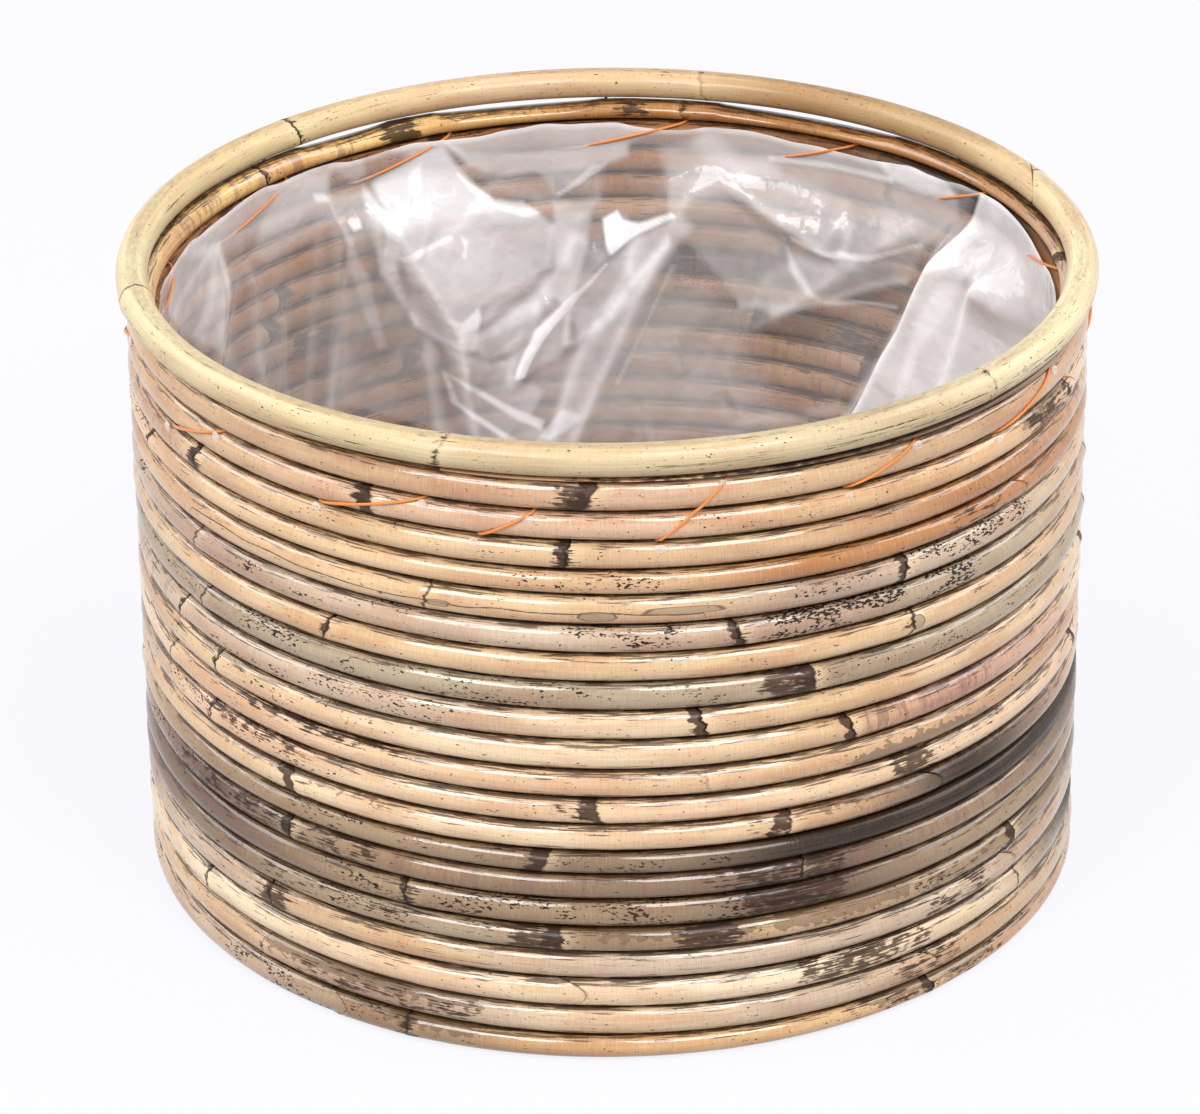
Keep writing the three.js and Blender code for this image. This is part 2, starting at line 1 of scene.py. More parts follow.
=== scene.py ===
# A round planter of coiled rattan cane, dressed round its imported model.
# Lengths are millimetres in the sums and metres in Blender, +Z up, and the front looks along -Y.
import math

import bpy
import numpy as np
from mathutils import Matrix, Vector
from mathutils.geometry import delaunay_2d_cdt


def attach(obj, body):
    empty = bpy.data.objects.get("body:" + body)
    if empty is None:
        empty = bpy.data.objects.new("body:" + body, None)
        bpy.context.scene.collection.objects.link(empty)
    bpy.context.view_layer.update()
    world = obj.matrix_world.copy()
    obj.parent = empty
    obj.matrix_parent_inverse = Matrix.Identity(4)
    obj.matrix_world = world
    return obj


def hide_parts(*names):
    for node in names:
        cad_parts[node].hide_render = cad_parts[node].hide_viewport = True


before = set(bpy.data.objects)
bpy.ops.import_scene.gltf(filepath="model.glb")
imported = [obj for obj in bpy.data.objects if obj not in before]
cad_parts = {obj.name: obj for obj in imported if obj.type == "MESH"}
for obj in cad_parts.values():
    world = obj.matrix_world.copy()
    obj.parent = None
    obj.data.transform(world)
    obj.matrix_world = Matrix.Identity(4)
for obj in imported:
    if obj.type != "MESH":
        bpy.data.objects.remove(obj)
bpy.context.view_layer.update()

MM = 0.001
TAU = 2 * math.pi

# Sizes, as in the part's source. A scarf's length takes in its gap, and its angle is where the source cuts it
OVERALL_HEIGHT = 270.0
RIM_THICKNESS = 13.0
RIM_RADIUS = 193.5
WALL_RADIUS = 190.5
CANE_WIDTH = 12.2
SEAT_GAP = 0.3
TIP_THICKNESS = 1.2
COIL_TURNS = 21.72
COIL_START_ANGLE = -109.0
START_DIP_TURNS = 0.2
SAG_DEPTH = 1.7
SAGS = [(62, 13), (102, 11), (127, 7)]
SPLICES_AT_TURN = [2.25, 4.2, 7.6, 10.6, 13.15, 15.6, 18.2, 19.05, 20.15, 20.95]
SCARF_LENGTH = 30.0
RIM_SCARF_ANGLE = 22.5
SOURCE_STEPS_PER_TURN = 24
SOURCE_TURN_GAP = 0.5
WALL_TOP = OVERALL_HEIGHT - RIM_THICKNESS - SEAT_GAP
TURN_PITCH = (WALL_TOP - 2 * TIP_THICKNESS - SOURCE_TURN_GAP) / (COIL_TURNS - 1)
TURN_LENGTH = TAU * WALL_RADIUS
LINER_BOTTOM = 20.1

# What is finer here than in the source
SIDES = 24
STEPS_PER_TURN = 460
TURN_GAP = 0.2
SCARF_GAP = 0.8
CANE_HALF_HEIGHT = 6  # of a full cane, for marks placed by height
KNUCKLE_RISE = 0.5
THREAD_RADIUS = 0.58
# Each stitch: the angle where it comes out, counted from +X, the turn of the coil whose groove it comes out
# under, and the angle and the turn where it goes back in
STITCHES = [
    (-152.6, 1, -140.7, 0), (-125.2, 1, -111.1, 0), (-104.9, 2, -98.3, 1), (-84.7, 2, -76.5, 0),
    (-62.3, 1, -52.5, 0), (-39.2, 1, -25.8, 0), (-10.0, 1, 3.0, 0), (19.5, 1, 30.5, 0), (41.0, 1, 54.5, 0),
    (67.3, 1, 79.0, 0), (96.0, 1, 111.3, 0), (126.8, 1, 137.2, 0), (153.2, 1, 167.5, 0), (178.0, 1, 190.0, 0),
]

# How many millimetres each groove, from the first turn's down, lies above or below its even place, because no
# two poles are equally thick
GROOVE_SHIFTS = [
    0, -1.0, -1.1, -1.2, 0.5, 0.0, 0.1, -0.1, -0.5, -1.1, -1.8, -1.8, -1.4, -0.9, 0.9, 1.7, 1.2, 2.4, 2.2,
    1.7, 0.9, 0,
]


# Picking, placing and joining

def deselect_all():
    bpy.ops.object.select_all(action="DESELECT")


def finish_piece(piece, material, *nodes, slot=None):
    """Gives a piece its material, lets it ride, and has it stand for its CAD nodes"""
    piece.data.materials.clear()
    piece.data.materials.append(material)
    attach(piece, "root")
    if nodes:
        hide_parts(*nodes)
    deselect_all()


def get_places(piece):
    """A piece's vertices as x, y, z in millimetres"""
    places = np.empty(len(piece.data.vertices) * 3)
    piece.data.vertices.foreach_get("co", places)
    return places.reshape(-1, 3) / MM


def set_places(piece, places):
    """Moves a piece's vertices to places in millimetres"""
    piece.data.vertices.foreach_set("co", (places.reshape(-1, 3) * MM).ravel())
    piece.data.update()


def add_field(piece, name, kind, values):
    """Stores numbers on a piece's vertices for its material to read"""
    field = piece.data.attributes.new(name, kind, "POINT")
    key = {"FLOAT": "value", "FLOAT_VECTOR": "vector", "FLOAT_COLOR": "color"}[kind]
    field.data.foreach_set(key, np.ascontiguousarray(values, dtype=np.float32).ravel())


def smooth(value):
    """Goes from 0 to 1 with no corner at either end"""
    value = np.clip(value, 0, 1)
    return value * value * (3 - 2 * value)


def eased(at, places, values):
    """Runs through values at places with no corners"""
    at = np.asarray(at, float)
    index = np.clip(np.searchsorted(places, at, side="right") - 1, 0, len(places) - 2)
    places, values = np.asarray(places, float), np.asarray(values, float)
    share = smooth((at - places[index]) / np.maximum(places[index + 1] - places[index], 1e-9))
    return values[index] + (values[index + 1] - values[index]) * share


def wander(at, spacing, seed, count=4096):
    """A slow random line between -1 and 1"""
    draw = np.random.default_rng(seed).uniform(-1, 1, count)
    places = np.arange(count) * spacing - 2 * spacing
    return eased(at, places, draw)


# The coil's form

def coil_angle(turn):
    """The angle in radians, counted from +X, at a place on the coil counted in turns from its start"""
    return math.radians(COIL_START_ANGLE) + turn * TAU


def turn_at(row, degrees):
    """The place on the coil so many degrees right of the front's middle, in a turn counted from the rim"""
    return row + (degrees - 90 - COIL_START_ANGLE) / 360


def coil_underside(turn):
    """The height of the cane's underside, which comes down by one cane a turn until it reaches the floor"""
    turn = np.asarray(turn, float)
    front = 0.07  # of a turn past each count lies the front, where the shifts are read
    shift = eased(turn, np.arange(len(GROOVE_SHIFTS)) + front, GROOVE_SHIFTS)
    even = WALL_TOP - TIP_THICKNESS - TURN_PITCH * turn
    fade = smooth(even / TURN_PITCH)
    return np.maximum(0, even + shift * fade)


def coil_top(turn):
    """The height of its top. The first turn is flat under the rim, sags a little and dips under its start"""
    turn = np.asarray(turn, float)
    angle = COIL_START_ANGLE + turn * 360
    sag = np.zeros_like(turn)
    for middle, half in SAGS:
        across = np.clip(np.abs(angle - middle) / half, 0, 1)
        sag = np.maximum(sag, SAG_DEPTH * np.sqrt(np.cos(across * math.pi / 2)))
    dip = np.clip((turn - 1 + START_DIP_TURNS) / START_DIP_TURNS, 0, 1)
    first = WALL_TOP - dip * (TIP_THICKNESS + TURN_GAP) - sag
    return np.where(turn < 1, first, coil_underside(turn - 1) - TURN_GAP)


def at_half_step(turn):
    """The source puts a splice half way between two of its steps"""
    offset = COIL_START_ANGLE / 360
    return (math.floor((turn + offset) * SOURCE_STEPS_PER_TURN) + 0.5) / SOURCE_STEPS_PER_TURN - offset


SPLICES = [at_half_step(turn) for turn in SPLICES_AT_TURN]

# Nodes, the knuckles where the palm's leaves grew: those that show at the front, as turn, degrees right of
# the front's middle and kind
FRONT_KNUCKLES = [
    (1, -2.2, "blotch"), (2, -27.6, "blotch"), (2, 69.1, "ring"), (3, -4.8, "burnt"), (3, -55.5, "burnt"),
    (4, -69.5, "ring"), (5, -21.1, "line"), (5, 35.6, "burnt"), (6, -56.4, "line"), (6, 14.7, "burnt"),
    (7, -34.1, "ring"), (7, 36.6, "ring"), (8, -55.5, "line"), (8, 23.6, "smoky"), (9, 10.5, "burnt"),
    (9, -61.1, "ring"), (10, 28.7, "burnt"), (10, -52.7, "ring"), (11, -64.8, "line"), (11, 11, "faint"),
    (12, -1.3, "blotch"), (12, -54.6, "ring"), (13, -39.7, "blotch"), (13, 20.8, "smoky"),
    (14, -7.7, "blotch"), (15, -40.6, "burnt"), (15, 22.2, "ring"), (16, -24.5, "ring"), (17, -5.9, "blotch"),
    (17, 56.1, "burnt"), (18, -44.3, "ring"), (19, -57.4, "ring"), (19, 58, "line"), (20, -46.2, "faint"),
    (21, -24.8, "line"), (21, 41.2, "burnt"),
]
# How strong each kind's dark ring is, how strong the stain before it is, how many millimetres that reaches,
# and how strong the pale band after it is
KNUCKLE_KINDS = {
    "ring": (0.9, 0.55, 5, 0.3), "line": (0.8, 0.15, 3, 0.2), "blotch": (0.35, 1.0, 12, 0.35),
    "burnt": (1.0, 1.0, 7, 0.4), "smoky": (0.5, 0.8, 15, 0.5), "faint": (0.25, 0.3, 6, 0.2),
    "worn": (0.25, 0.5, 6, 0.1),
}
KNUCKLE_SPACING = (0.16, 0.22)  # between two drawn nodes, in turns: a hand's length or more
LEAST_KNUCKLE_GAP = 0.11  # between a drawn node and the next one that shows
SEEN_DEGREES = 76  # either side of the front's middle, where no node is drawn


def knuckle_turns():
    """The nodes of the whole coil: the front's, and drawn ones round the back"""
    draw = np.random.default_rng(7)
    kinds = list(KNUCKLE_KINDS)
    known = sorted((turn_at(row, degrees), kind) for row, degrees, kind in FRONT_KNUCKLES)
    placed = list(known)
    for (here, _), (after, _) in zip([(0.12, "")] + known, known + [(COIL_TURNS - 0.1, "")]):
        at = here + draw.uniform(*KNUCKLE_SPACING)
        while at < after - LEAST_KNUCKLE_GAP:
            kind = kinds[draw.integers(0, len(kinds))]
            if abs((at * 360 + COIL_START_ANGLE + 270) % 360 - 180) > SEEN_DEGREES:
                placed.append((at, kind))
            at += draw.uniform(*KNUCKLE_SPACING)
    return sorted(placed)


KNUCKLES = knuckle_turns()

# Lacquer wets the skin, which deepens its tones: the share of red, green and blue that is left
LACQUER_DEPTH = (0.88, 0.94, 0.99)
# The same on the rim, where it is one share for all three
RIM_LACQUER_DEPTH = 0.75
# Inside, the skin is painted a darker brown as painted shade: the share of each colour that is left there
INSIDE_SHADE_TONE = "c4a58a"
# Tones of the cane's dry skin, sRGB
TONES = {
    "tan": "d2a87d", "pink_tan": "d4a886", "straw": "deb78a", "cream": "edcca4", "peach": "e8c098",
    "rust": "b5763e", "honey": "efbe74", "toffee": "ad743a", "plum": "b6957d", "olive": "af9a7c",
    "khaki": "9d7f5d", "dark_khaki": "83684b", "bark": "674d3e", "umber": "3c2c26", "soot": "221a17",
    "pale_straw": "f6d9b3", "grey_tan": "ceb094", "amber": "dfb07c", "rose": "c58f76",
}

# Each turn's tone at 55 and 28 degrees left of the front's middle, near it, and 24 and 46 degrees right of it
TURN_TONES = {
    0: "tan pink_tan tan bark bark",
    1: "tan tan pink_tan tan tan",
    2: "tan pink_tan pink_tan straw amber",
    3: "tan straw tan tan rust",
    4: "straw straw tan rust rust",
    5: "straw straw straw plum grey_tan",
    6: "plum grey_tan grey_tan plum olive",
    7: "straw straw straw straw straw",
    8: "olive olive olive olive olive",
    9: "grey_tan grey_tan cream straw straw",
    10: "straw cream cream straw rose",
    11: "peach peach peach straw tan",
    12: "peach cream peach peach peach",
    13: "straw cream cream tan soot",
    14: "khaki khaki dark_khaki soot soot",
    15: "bark khaki dark_khaki bark khaki",
    16: "bark khaki khaki bark khaki",
    17: "dark_khaki olive khaki tan khaki",
    18: "grey_tan straw grey_tan grey_tan grey_tan",
    19: "pale_straw pale_straw pale_straw pale_straw cream",
    20: "straw plum cream grey_tan tan",
    21: "grey_tan khaki amber amber tan",
}
TONE_DEGREES = [-55, -28, 2, 24, 46]
HIDDEN_TONE_DEGREES = [82, 125, 170, 215, 258]
STRAY_TONES = 0.25  # of the tones out of sight aren't among those that the same turn shows
# The first turn's far side, which shows over the film: from and to in turns, and the tone
FAR_TONES = [(0.35, 0.56, "toffee"), (0.56, 0.85, "honey")]

# Marks on the skin: turn, from and to in degrees right of the front's middle, kind, strength, and the middle
# and half height of its band up the cane, from -1 to 1. For a crack or a torn edge the middle is the height
# of its line, and a torn edge with a half height below 0 has the bare skin under it
MARKS = [
    (0, -5.3, 37.5, "bark", 0.7, 0, 1.2), (0, 174, 179, "bark", 0.8, 0.3, 0.8),
    (0, 183, 203, "torn", 1, 0.4, 1), (0, 206, 212, "bark", 1.0, 0, 1.2), (0, 213, 255, "band", 1.0, 0, 1.3),
    (1, -9, 3, "streak", 0.9, 0.2, 0.8), (1, -6.3, -1.6, "bark", 1.0, -0.1, 1.0),
    (1, 5, 56.1, "streak", 0.35, 0.3, 0.7), (2, -29.9, -27.1, "bark", 0.9, 0.1, 0.9),
    (2, 9.6, 46.8, "speck", 0.3, 0, 1), (2, 56, 70, "torn", 1, 0.15, 1), (2, 57, 70, "bark", 0.75, 0.1, 0.75),
    (3, -57.8, -54.1, "bark", 0.9, 0.2, 0.8), (3, -36.9, -9, "speck", 0.4, 0.5, 0.5),
    (3, -6.2, -3.9, "bark", 1.0, 0, 1.1), (3, -3.4, 11.5, "streak", 0.6, 0.6, 0.3),
    (4, -10.9, 5.9, "speck", 0.8, 0.2, 0.6), (4, 9.6, 42.1, "streak", 0.4, 0, 1),
    (4, 42, 53, "bark", 0.5, -0.1, 0.9), (5, -57.4, 10.5, "crack", 1.0, 0.05, 0.5),
    (5, 14, 34, "speck", 0.8, 0.2, 0.8), (5, 36, 58, "speck", 1.3, 0, 1),
    (6, -56, -25, "speck", 1.3, 0.6, 0.7), (6, -5.3, 9.6, "speck", 1.3, 0.3, 0.8),
    (6, 13.3, 16.1, "bark", 0.8, 0, 1), (6, 16, 47, "speck", 1.6, 0.2, 1.0),
    (8, -50.9, 0.3, "speck", 1.0, 0, 1), (8, 0.3, 56.1, "speck", 0.5, 0, 1),
    (8, 17, 23.6, "bark", 0.9, 0, 1.1), (9, -55.5, -18.3, "speck", 0.9, 0.2, 0.8),
    (10, -55.5, -27.6, "speck", 0.5, 0, 1), (10, 28.2, 51.5, "band", 1.0, 0, 1.3),
    (11, -49.9, -23.9, "bark", 0.75, 0.85, 0.45), (11, -36.9, 0.3, "streak", 0.4, 0.6, 0.5),
    (11, 28.2, 50.5, "torn", 1, 0.2, -1), (12, -55.5, -36.9, "bark", 0.7, 0.7, 0.5),
    (12, -9, -1.6, "bark", 0.4, 0, 0.8), (12, 34, 41, "bark", 0.95, 0.2, 0.9),
    (12, 43, 54, "bark", 0.4, 0.4, 0.7), (13, -53.6, -27.6, "torn", 1, 0.6, 1),
    (13, 14.3, 20.8, "bark", 0.45, 0, 1), (13, 22.6, 56.1, "bark", 0.5, 0.95, 0.35),
    (13, 24.5, 58, "torn", 1, 0.5, 1), (14, -57.4, 9.6, "streak", 0.6, 0.5, 0.6),
    (14, -46.2, 18.9, "speck", 0.8, 0, 1), (15, -65, -28, "bark", 0.62, 0, 1.3),
    (15, -27.6, 56.1, "band", 1.0, 0, 1.3), (15, 10, 22, "bark", 0.55, 0.3, 0.8),
    (15, 13.3, 28.2, "bark", 0.8, 0, 1.2), (16, -36.9, 18.9, "speck", 1.2, 0, 1.1),
    (16, -25.7, -22.9, "bark", 0.8, 0, 1), (16, 15.2, 28.2, "bark", 0.9, 0, 1.2),
    (17, -55.5, 46.8, "speck", 0.8, 0, 1), (17, -46.2, -12.7, "bark", 0.45, 0.4, 0.6),
    (17, -12.7, -6, "bark", 0.85, 0, 1.2), (17, -1.6, 17, "torn", 1, 0.1, 1),
    (17, 7, 15, "bark", 1.0, 0.1, 1.0), (17, 18.9, 37.5, "torn", 1, -0.1, 1),
    (17, 38, 56, "bark", 0.5, 0, 1.2), (18, -47.1, -41.6, "bark", 0.9, 0, 1),
    (18, -36.9, 37.5, "streak", 1.0, 0.3, 0.8), (18, 39.4, 52.4, "bark", 0.6, 0.2, 0.9),
    (19, -55.5, 56.1, "streak", 0.2, 0, 1), (19, 22, 41, "bark", 0.75, 0.2, 0.9),
    (20, -46.2, -15.5, "torn", 1, 0.0, 1), (20, -42, -15, "bark", 0.55, -0.1, 1),
    (20, -10.9, 33.8, "streak", 0.5, 0.2, 0.9), (20, 35, 47, "bark", 0.6, 0.2, 0.9),
    (21, -55.5, -27.6, "speck", 1.0, 0, 1), (21, -27.6, -16.4, "torn", 1, 0.3, 1),
    (21, -26.7, -22.9, "bark", 0.8, 0, 1), (21, 28.2, 56.1, "bark", 0.5, 0, 1),
    (21, 31.9, 52.4, "torn", 1, 0.2, 1),
]
# How much brown sheath clings along the edges of each turn, from the first down
SHEATH_BY_TURN = [
    0.3, 0.4, 0.4, 0.5, 0.5, 0.4, 0.4, 0.5, 0.3, 0.6, 0.8, 1.0, 1.0, 1.0, 0.6, 0.5, 0.7, 1.0, 0.8, 0.8, 0.7,
    0.6, 0.5,
]
# Oval scars: turn, degrees right of the front's middle, half length and half height in millimetres, middle
SCARS = [(5, -1.4, 7.5, 2.3, -1.2), (5, 8.3, 16, 1.7, 0.6), (5, -19.5, 5, 1.5, -0.6), (7, 37.5, 3.5, 3, 1.0)]


def linear(code):
    """An sRGB hex value as linear red, green, blue and alpha"""
    parts = np.array([int(code[i:i + 2], 16) / 255 for i in (0, 2, 4)])
    return (*np.where(parts <= 0.04045, parts / 12.92, ((parts + 0.055) / 1.055) ** 2.4), 1.0)


def skin_tone(turn):
    """The skin's colour along the coil. Out of sight it mostly carries on with the tones that show"""
    draw = np.random.default_rng(21)
    places, colours = [], []
    for row, words in TURN_TONES.items():
        names = words.split()
        for degrees, name in zip(TONE_DEGREES, names):
            places.append(turn_at(row, degrees))
            colours.append(linear(TONES[name])[:3])
        for degrees in HIDDEN_TONE_DEGREES:
            name = names[draw.integers(0, len(names))]
            if draw.uniform() < STRAY_TONES:
                name = list(TONES)[draw.integers(0, len(TONES))]
            places.append(turn_at(row, degrees))
            colours.append(linear(TONES[name])[:3])
    places[:0] = [turn_at(0, -90)]
    colours[:0] = [colours[0]]
    colours = np.array(colours)
    for start, end, name in FAR_TONES:
        for index, place in enumerate(places):
            if start < place < end:
                colours[index] = linear(TONES[name])[:3]
    channels = [depth * eased(turn, places, channel) for depth, channel in zip(LACQUER_DEPTH, colours.T)]
    return np.stack([*channels, np.ones_like(channels[0])], axis=-1)


def band_strength(turn, up, mark):
    """How strong one mark is, fading over 12 mm at its ends and a quarter of the cane at its sides"""
    row, start, end, _, strength, middle, half = mark
    first, last = turn_at(row, start), turn_at(row, end)
    along = np.minimum(turn - first, last - turn) * TURN_LENGTH / 6
    across = (half - np.abs(up - middle)) * 4
    return strength * smooth(along * 0.5 + 0.5) * smooth(across * 0.5 + 0.5)


# How many degrees long a drawn mark of each kind is, at least and at most
DRAWN_LENGTHS = {"bark": (2, 16), "speck": (15, 60), "streak": (12, 60), "band": (10, 40)}
DRAWN_MARKS_PER_TURN = 7


def drawn_marks():
    """Marks for the sides and the back, drawn in the same manner as the front's"""
    draw = np.random.default_rng(99)
    marks = []
    for row in range(1, 22):
        for _ in range(DRAWN_MARKS_PER_TURN):
            start = draw.uniform(66, 280)
            kind = draw.choice(["bark", "speck", "speck", "streak", "streak", "band"])
            lengths = {word: draw.uniform(*span) for word, span in DRAWN_LENGTHS.items()}
            strength, middle, half = (draw.uniform(*span) for span in ((0.5, 1.0), (-0.6, 0.6), (0.5, 1.2)))
            marks.append((row, start, start + lengths[kind], kind, strength, middle, half))
    return marks


ALL_MARKS = MARKS + drawn_marks()
# How many millimetres away a node, a torn edge and a crack are still told apart from none
KNUCKLE_REACH, TORN_REACH, CRACK_REACH = 40.0, 6.0, 3.0
NO_SCAR = -1.0


def skin_marks(turn, up):
    """How much of each kind of mark there is: bark, speckles, streaks, and cross bands"""
    kinds = ["bark", "speck", "streak", "band"]
    found = np.zeros((4, *turn.shape))
    for mark in ALL_MARKS:
        if mark[3] not in kinds:
            continue
        first, last = turn_at(mark[0], mark[1]) - 0.02, turn_at(mark[0], mark[2]) + 0.02
        rows = (turn[:, 0] > first) & (turn[:, 0] < last)
        if rows.any():
            index = kinds.index(mark[3])
            found[index, rows] = np.maximum(found[index, rows], band_strength(turn[rows], up[rows], mark))
    return np.moveaxis(found, 0, -1)


def skin_residue(turn):
    """How much brown sheath clings along the cane's edges, turn by turn"""
    return eased(turn, np.arange(len(SHEATH_BY_TURN)) + 0.1, SHEATH_BY_TURN)


def skin_scars(turn, height):
    """Above 0 inside an oval scar"""
    found = np.full(turn.shape, NO_SCAR)
    for row, degrees, half_length, half_height, middle in SCARS:
        along = (turn - turn_at(row, degrees)) * TURN_LENGTH / half_length
        found = np.maximum(found, 1 - along ** 2 - ((height - middle) / half_height) ** 2)
    return found


def skin_torn(turn, height):
    """How many millimetres inside the bare skin, past the torn edge of the old leaf sheath, a place is"""
    found = np.full(turn.shape, -TORN_REACH)
    for row, start, end, kind, _, middle, half in MARKS:
        if kind != "torn":
            continue
        first, last = turn_at(row, start), turn_at(row, end)
        inside = np.minimum(turn - first, last - turn) * TURN_LENGTH
        line = middle * CANE_HALF_HEIGHT + 1.5 * wander(turn * TURN_LENGTH, 40, 8)
        over = (height - line) * (1 if half > 0 else -1)
        found = np.maximum(found, np.minimum(over, inside))
    return np.clip(found, -TORN_REACH, TORN_REACH)


def skin_cracks(turn, height):
    """How many millimetres a place is above or below the long crack"""
    found = np.full(turn.shape, CRACK_REACH)
    for row, start, end, kind, _, middle, _ in MARKS:
        if kind != "crack":
            continue
        inside = (turn > turn_at(row, start)) & (turn < turn_at(row, end))
        length = turn * TURN_LENGTH
        line = middle * CANE_HALF_HEIGHT + 0.8 * wander(length, 14, 5) + 1.2 * wander(length, 60, 6)
        found = np.where(inside, height - line, found)
    return np.clip(found, -CRACK_REACH, CRACK_REACH)


def nearest_knuckle(turn, height, knuckles, seed):
    """How many millimetres along the cane the nearest node is, each node's ring leaning its own way, and the
    strengths of its ring, its stain and its pale band"""
    draw = np.random.default_rng(seed)
    found = np.full(turn.shape, KNUCKLE_REACH)
    looks = np.zeros((*turn.shape, 3))
    for knuckle, kind in knuckles:
        ring, stain, reach, pale = KNUCKLE_KINDS[kind]
        gap = (turn - knuckle) * TURN_LENGTH + draw.uniform(-0.45, 0.45) * height
        nearer = np.abs(gap) < np.abs(found)
        found = np.where(nearer, gap, found)
        before, after = gap < 1.5, gap > -1.5
        look = np.stack([
            np.full(turn.shape, ring), stain * smooth(1 + gap / reach) * before,
            pale * smooth(1 - gap / 9) * after], axis=-1)
        looks = np.where(nearer[..., None], look, looks)
    return np.clip(found, -KNUCKLE_REACH, KNUCKLE_REACH), looks


# Canes

def wind_circle(name, radius, thickness, start_angle, turns, drop):
    """A circle stood upright on its track and wound round the axis, one ring of corners for each step"""
    steps = max(8, round(turns * STEPS_PER_TURN))
    place = (radius * math.cos(start_angle) * MM, radius * math.sin(start_angle) * MM, 0)
    bpy.ops.mesh.primitive_circle_add(
        vertices=SIDES, radius=thickness / 2 * MM, location=place, rotation=(math.pi / 2, 0, start_angle))
    cane = bpy.context.object
    cane.name = name
    bpy.ops.object.transform_apply(location=True, rotation=True, scale=True)
    winding = cane.modifiers.new("winding", "SCREW")
    winding.axis = "Z"
    winding.angle = turns * TAU
    winding.screw_offset = -drop * MM
    winding.steps = winding.render_steps = steps
    winding.use_merge_vertices = False
    bpy.ops.object.modifier_apply(modifier=winding.name)
    return cane, steps


def close_ends(cane):
    """Fills both open ends and turns every face outwards"""
    bpy.ops.object.mode_set(mode="EDIT")
    bpy.ops.mesh.select_mode(type="EDGE")
    bpy.ops.mesh.select_all(action="DESELECT")
    bpy.ops.mesh.select_non_manifold()
    bpy.ops.mesh.fill_holes(sides=0)
    bpy.ops.mesh.select_all(action="SELECT")
    bpy.ops.mesh.normals_make_consistent(inside=False)
    bpy.ops.mesh.select_all(action="DESELECT")
    bpy.ops.object.mode_set(mode="OBJECT")
    bpy.ops.object.shade_smooth_by_angle(angle=math.radians(50))


def bent_cane(name, start, end, cut_start, cut_end, form, pole):
    """One pole of the coil, or the rim. A cut end is a scarf: a slant whose outer tongue runs on past the
    middle"""
    turns = end - start
    radius, width = form["radius"], form["width"]
    drop = float(form["top"](start) - form["top"](end))
    cane, steps = wind_circle(name, radius, width, coil_angle(start), turns, drop)
    first = get_places(cane)[:SIDES]
    across = (np.hypot(first[:, 0], first[:, 1]) - radius) / (width / 2)
    up = first[:, 2] / (width / 2)

    # The last ring at each end is drawn in a little over half a millimetre, which rounds the cut's edge
    ring = np.linspace(0, 1, steps + 1)
    turn = start + turns * ring
    size = np.ones(steps + 1)
    edge = 0.5 / TURN_LENGTH
    turn[1], turn[-2] = start + edge, end - edge
    size[0] = size[-1] = 0.9

    # The rings lean over before a cut, so that the last one lies in the scarf's face
    lean = SCARF_LENGTH / 2 / radius / TAU
    ramp = 2.4 * lean
    slant = np.zeros(steps + 1)
    if cut_start:
        slant += lean * smooth((start + ramp - turn) / ramp)
    if cut_end:
        slant += lean * smooth((turn - end + ramp) / ramp)
    here = turn[:, None] + slant[:, None] * across[None, :]
    top, bottom = form["top"](here), form["bottom"](here)
    height = (top - bottom) / 2
    above_middle = up[None, :] * height
    length = here * TURN_LENGTH

    # A node bulges before its ring and a little after it, inside and outside but not above and below, where
    # the turns bear on each other
    gap, looks = nearest_knuckle(here, above_middle, form["knuckles"], pole)
    bulge = KNUCKLE_RISE * np.exp(-((gap + 1) / 6) ** 2) + 0.25 * np.exp(-((gap - 2) / 2.5) ** 2)
    sideways = np.abs(across[None, :]) ** 1.5
    bulge *= np.minimum(height / CANE_HALF_HEIGHT, 1) * sideways * np.sign(across[None, :])
    swell = 1 + 0.012 * wander(length, 90, 31 + pole)
    out = 0.4 * wander(length, 160, 51 + pole) * form["loose"]
    from_axis = radius + across[None, :] * width / 2 * size[:, None] * swell + bulge + out
    z = (top + bottom) / 2 + above_middle * size[:, None]
    angle = np.radians(COIL_START_ANGLE) + here * TAU
    set_places(cane, np.stack([from_axis * np.cos(angle), from_axis * np.sin(angle), z], axis=-1))

    # Along, out from and up the cane as if it were straight, each pole with a stretch of pattern to itself
    straight = np.stack([
        length + pole * 1700, np.broadcast_to(across * width / 2, here.shape), above_middle], axis=-1)
    tone = form["tone"](here)
    # Inside the wall, past the first turn, the tone is painted darker as painted shade, and the lacquer is
    # thin there
    dull = smooth(-3 * across)[None, :] * smooth((here - 0.9) * 10) * form["inside_shade_and_bare"]
    tone[..., :3] *= 1 - dull[..., None] * (1 - np.array(linear(INSIDE_SHADE_TONE)[:3]))
    looks[..., 2] *= 1 - 0.8 * dull
    residue = np.broadcast_to(form["residue"](here)[..., None], (*here.shape, 1))
    outer = across[None, :] > 0.05
    for name, kind, values in (
            ("straight", "FLOAT_VECTOR", straight * MM),
            ("tone", "FLOAT_COLOR", tone),
            ("node_look", "FLOAT_COLOR", np.concatenate([looks, residue], axis=-1)),
            ("marks", "FLOAT_COLOR", form["marks"](here, np.broadcast_to(up, here.shape))),
            ("node_gap", "FLOAT", gap),
            ("bare", "FLOAT", dull),
            ("scar", "FLOAT", np.where(outer, form["scars"](here, above_middle), NO_SCAR)),
            ("crack", "FLOAT", np.where(outer, form["cracks"](here, above_middle), CRACK_REACH)),
            ("torn", "FLOAT", form["torn"](here, above_middle)),
            ("edge", "FLOAT", np.broadcast_to(np.abs(up), here.shape))):
        add_field(cane, name, kind, values)
    close_ends(cane)
    return cane


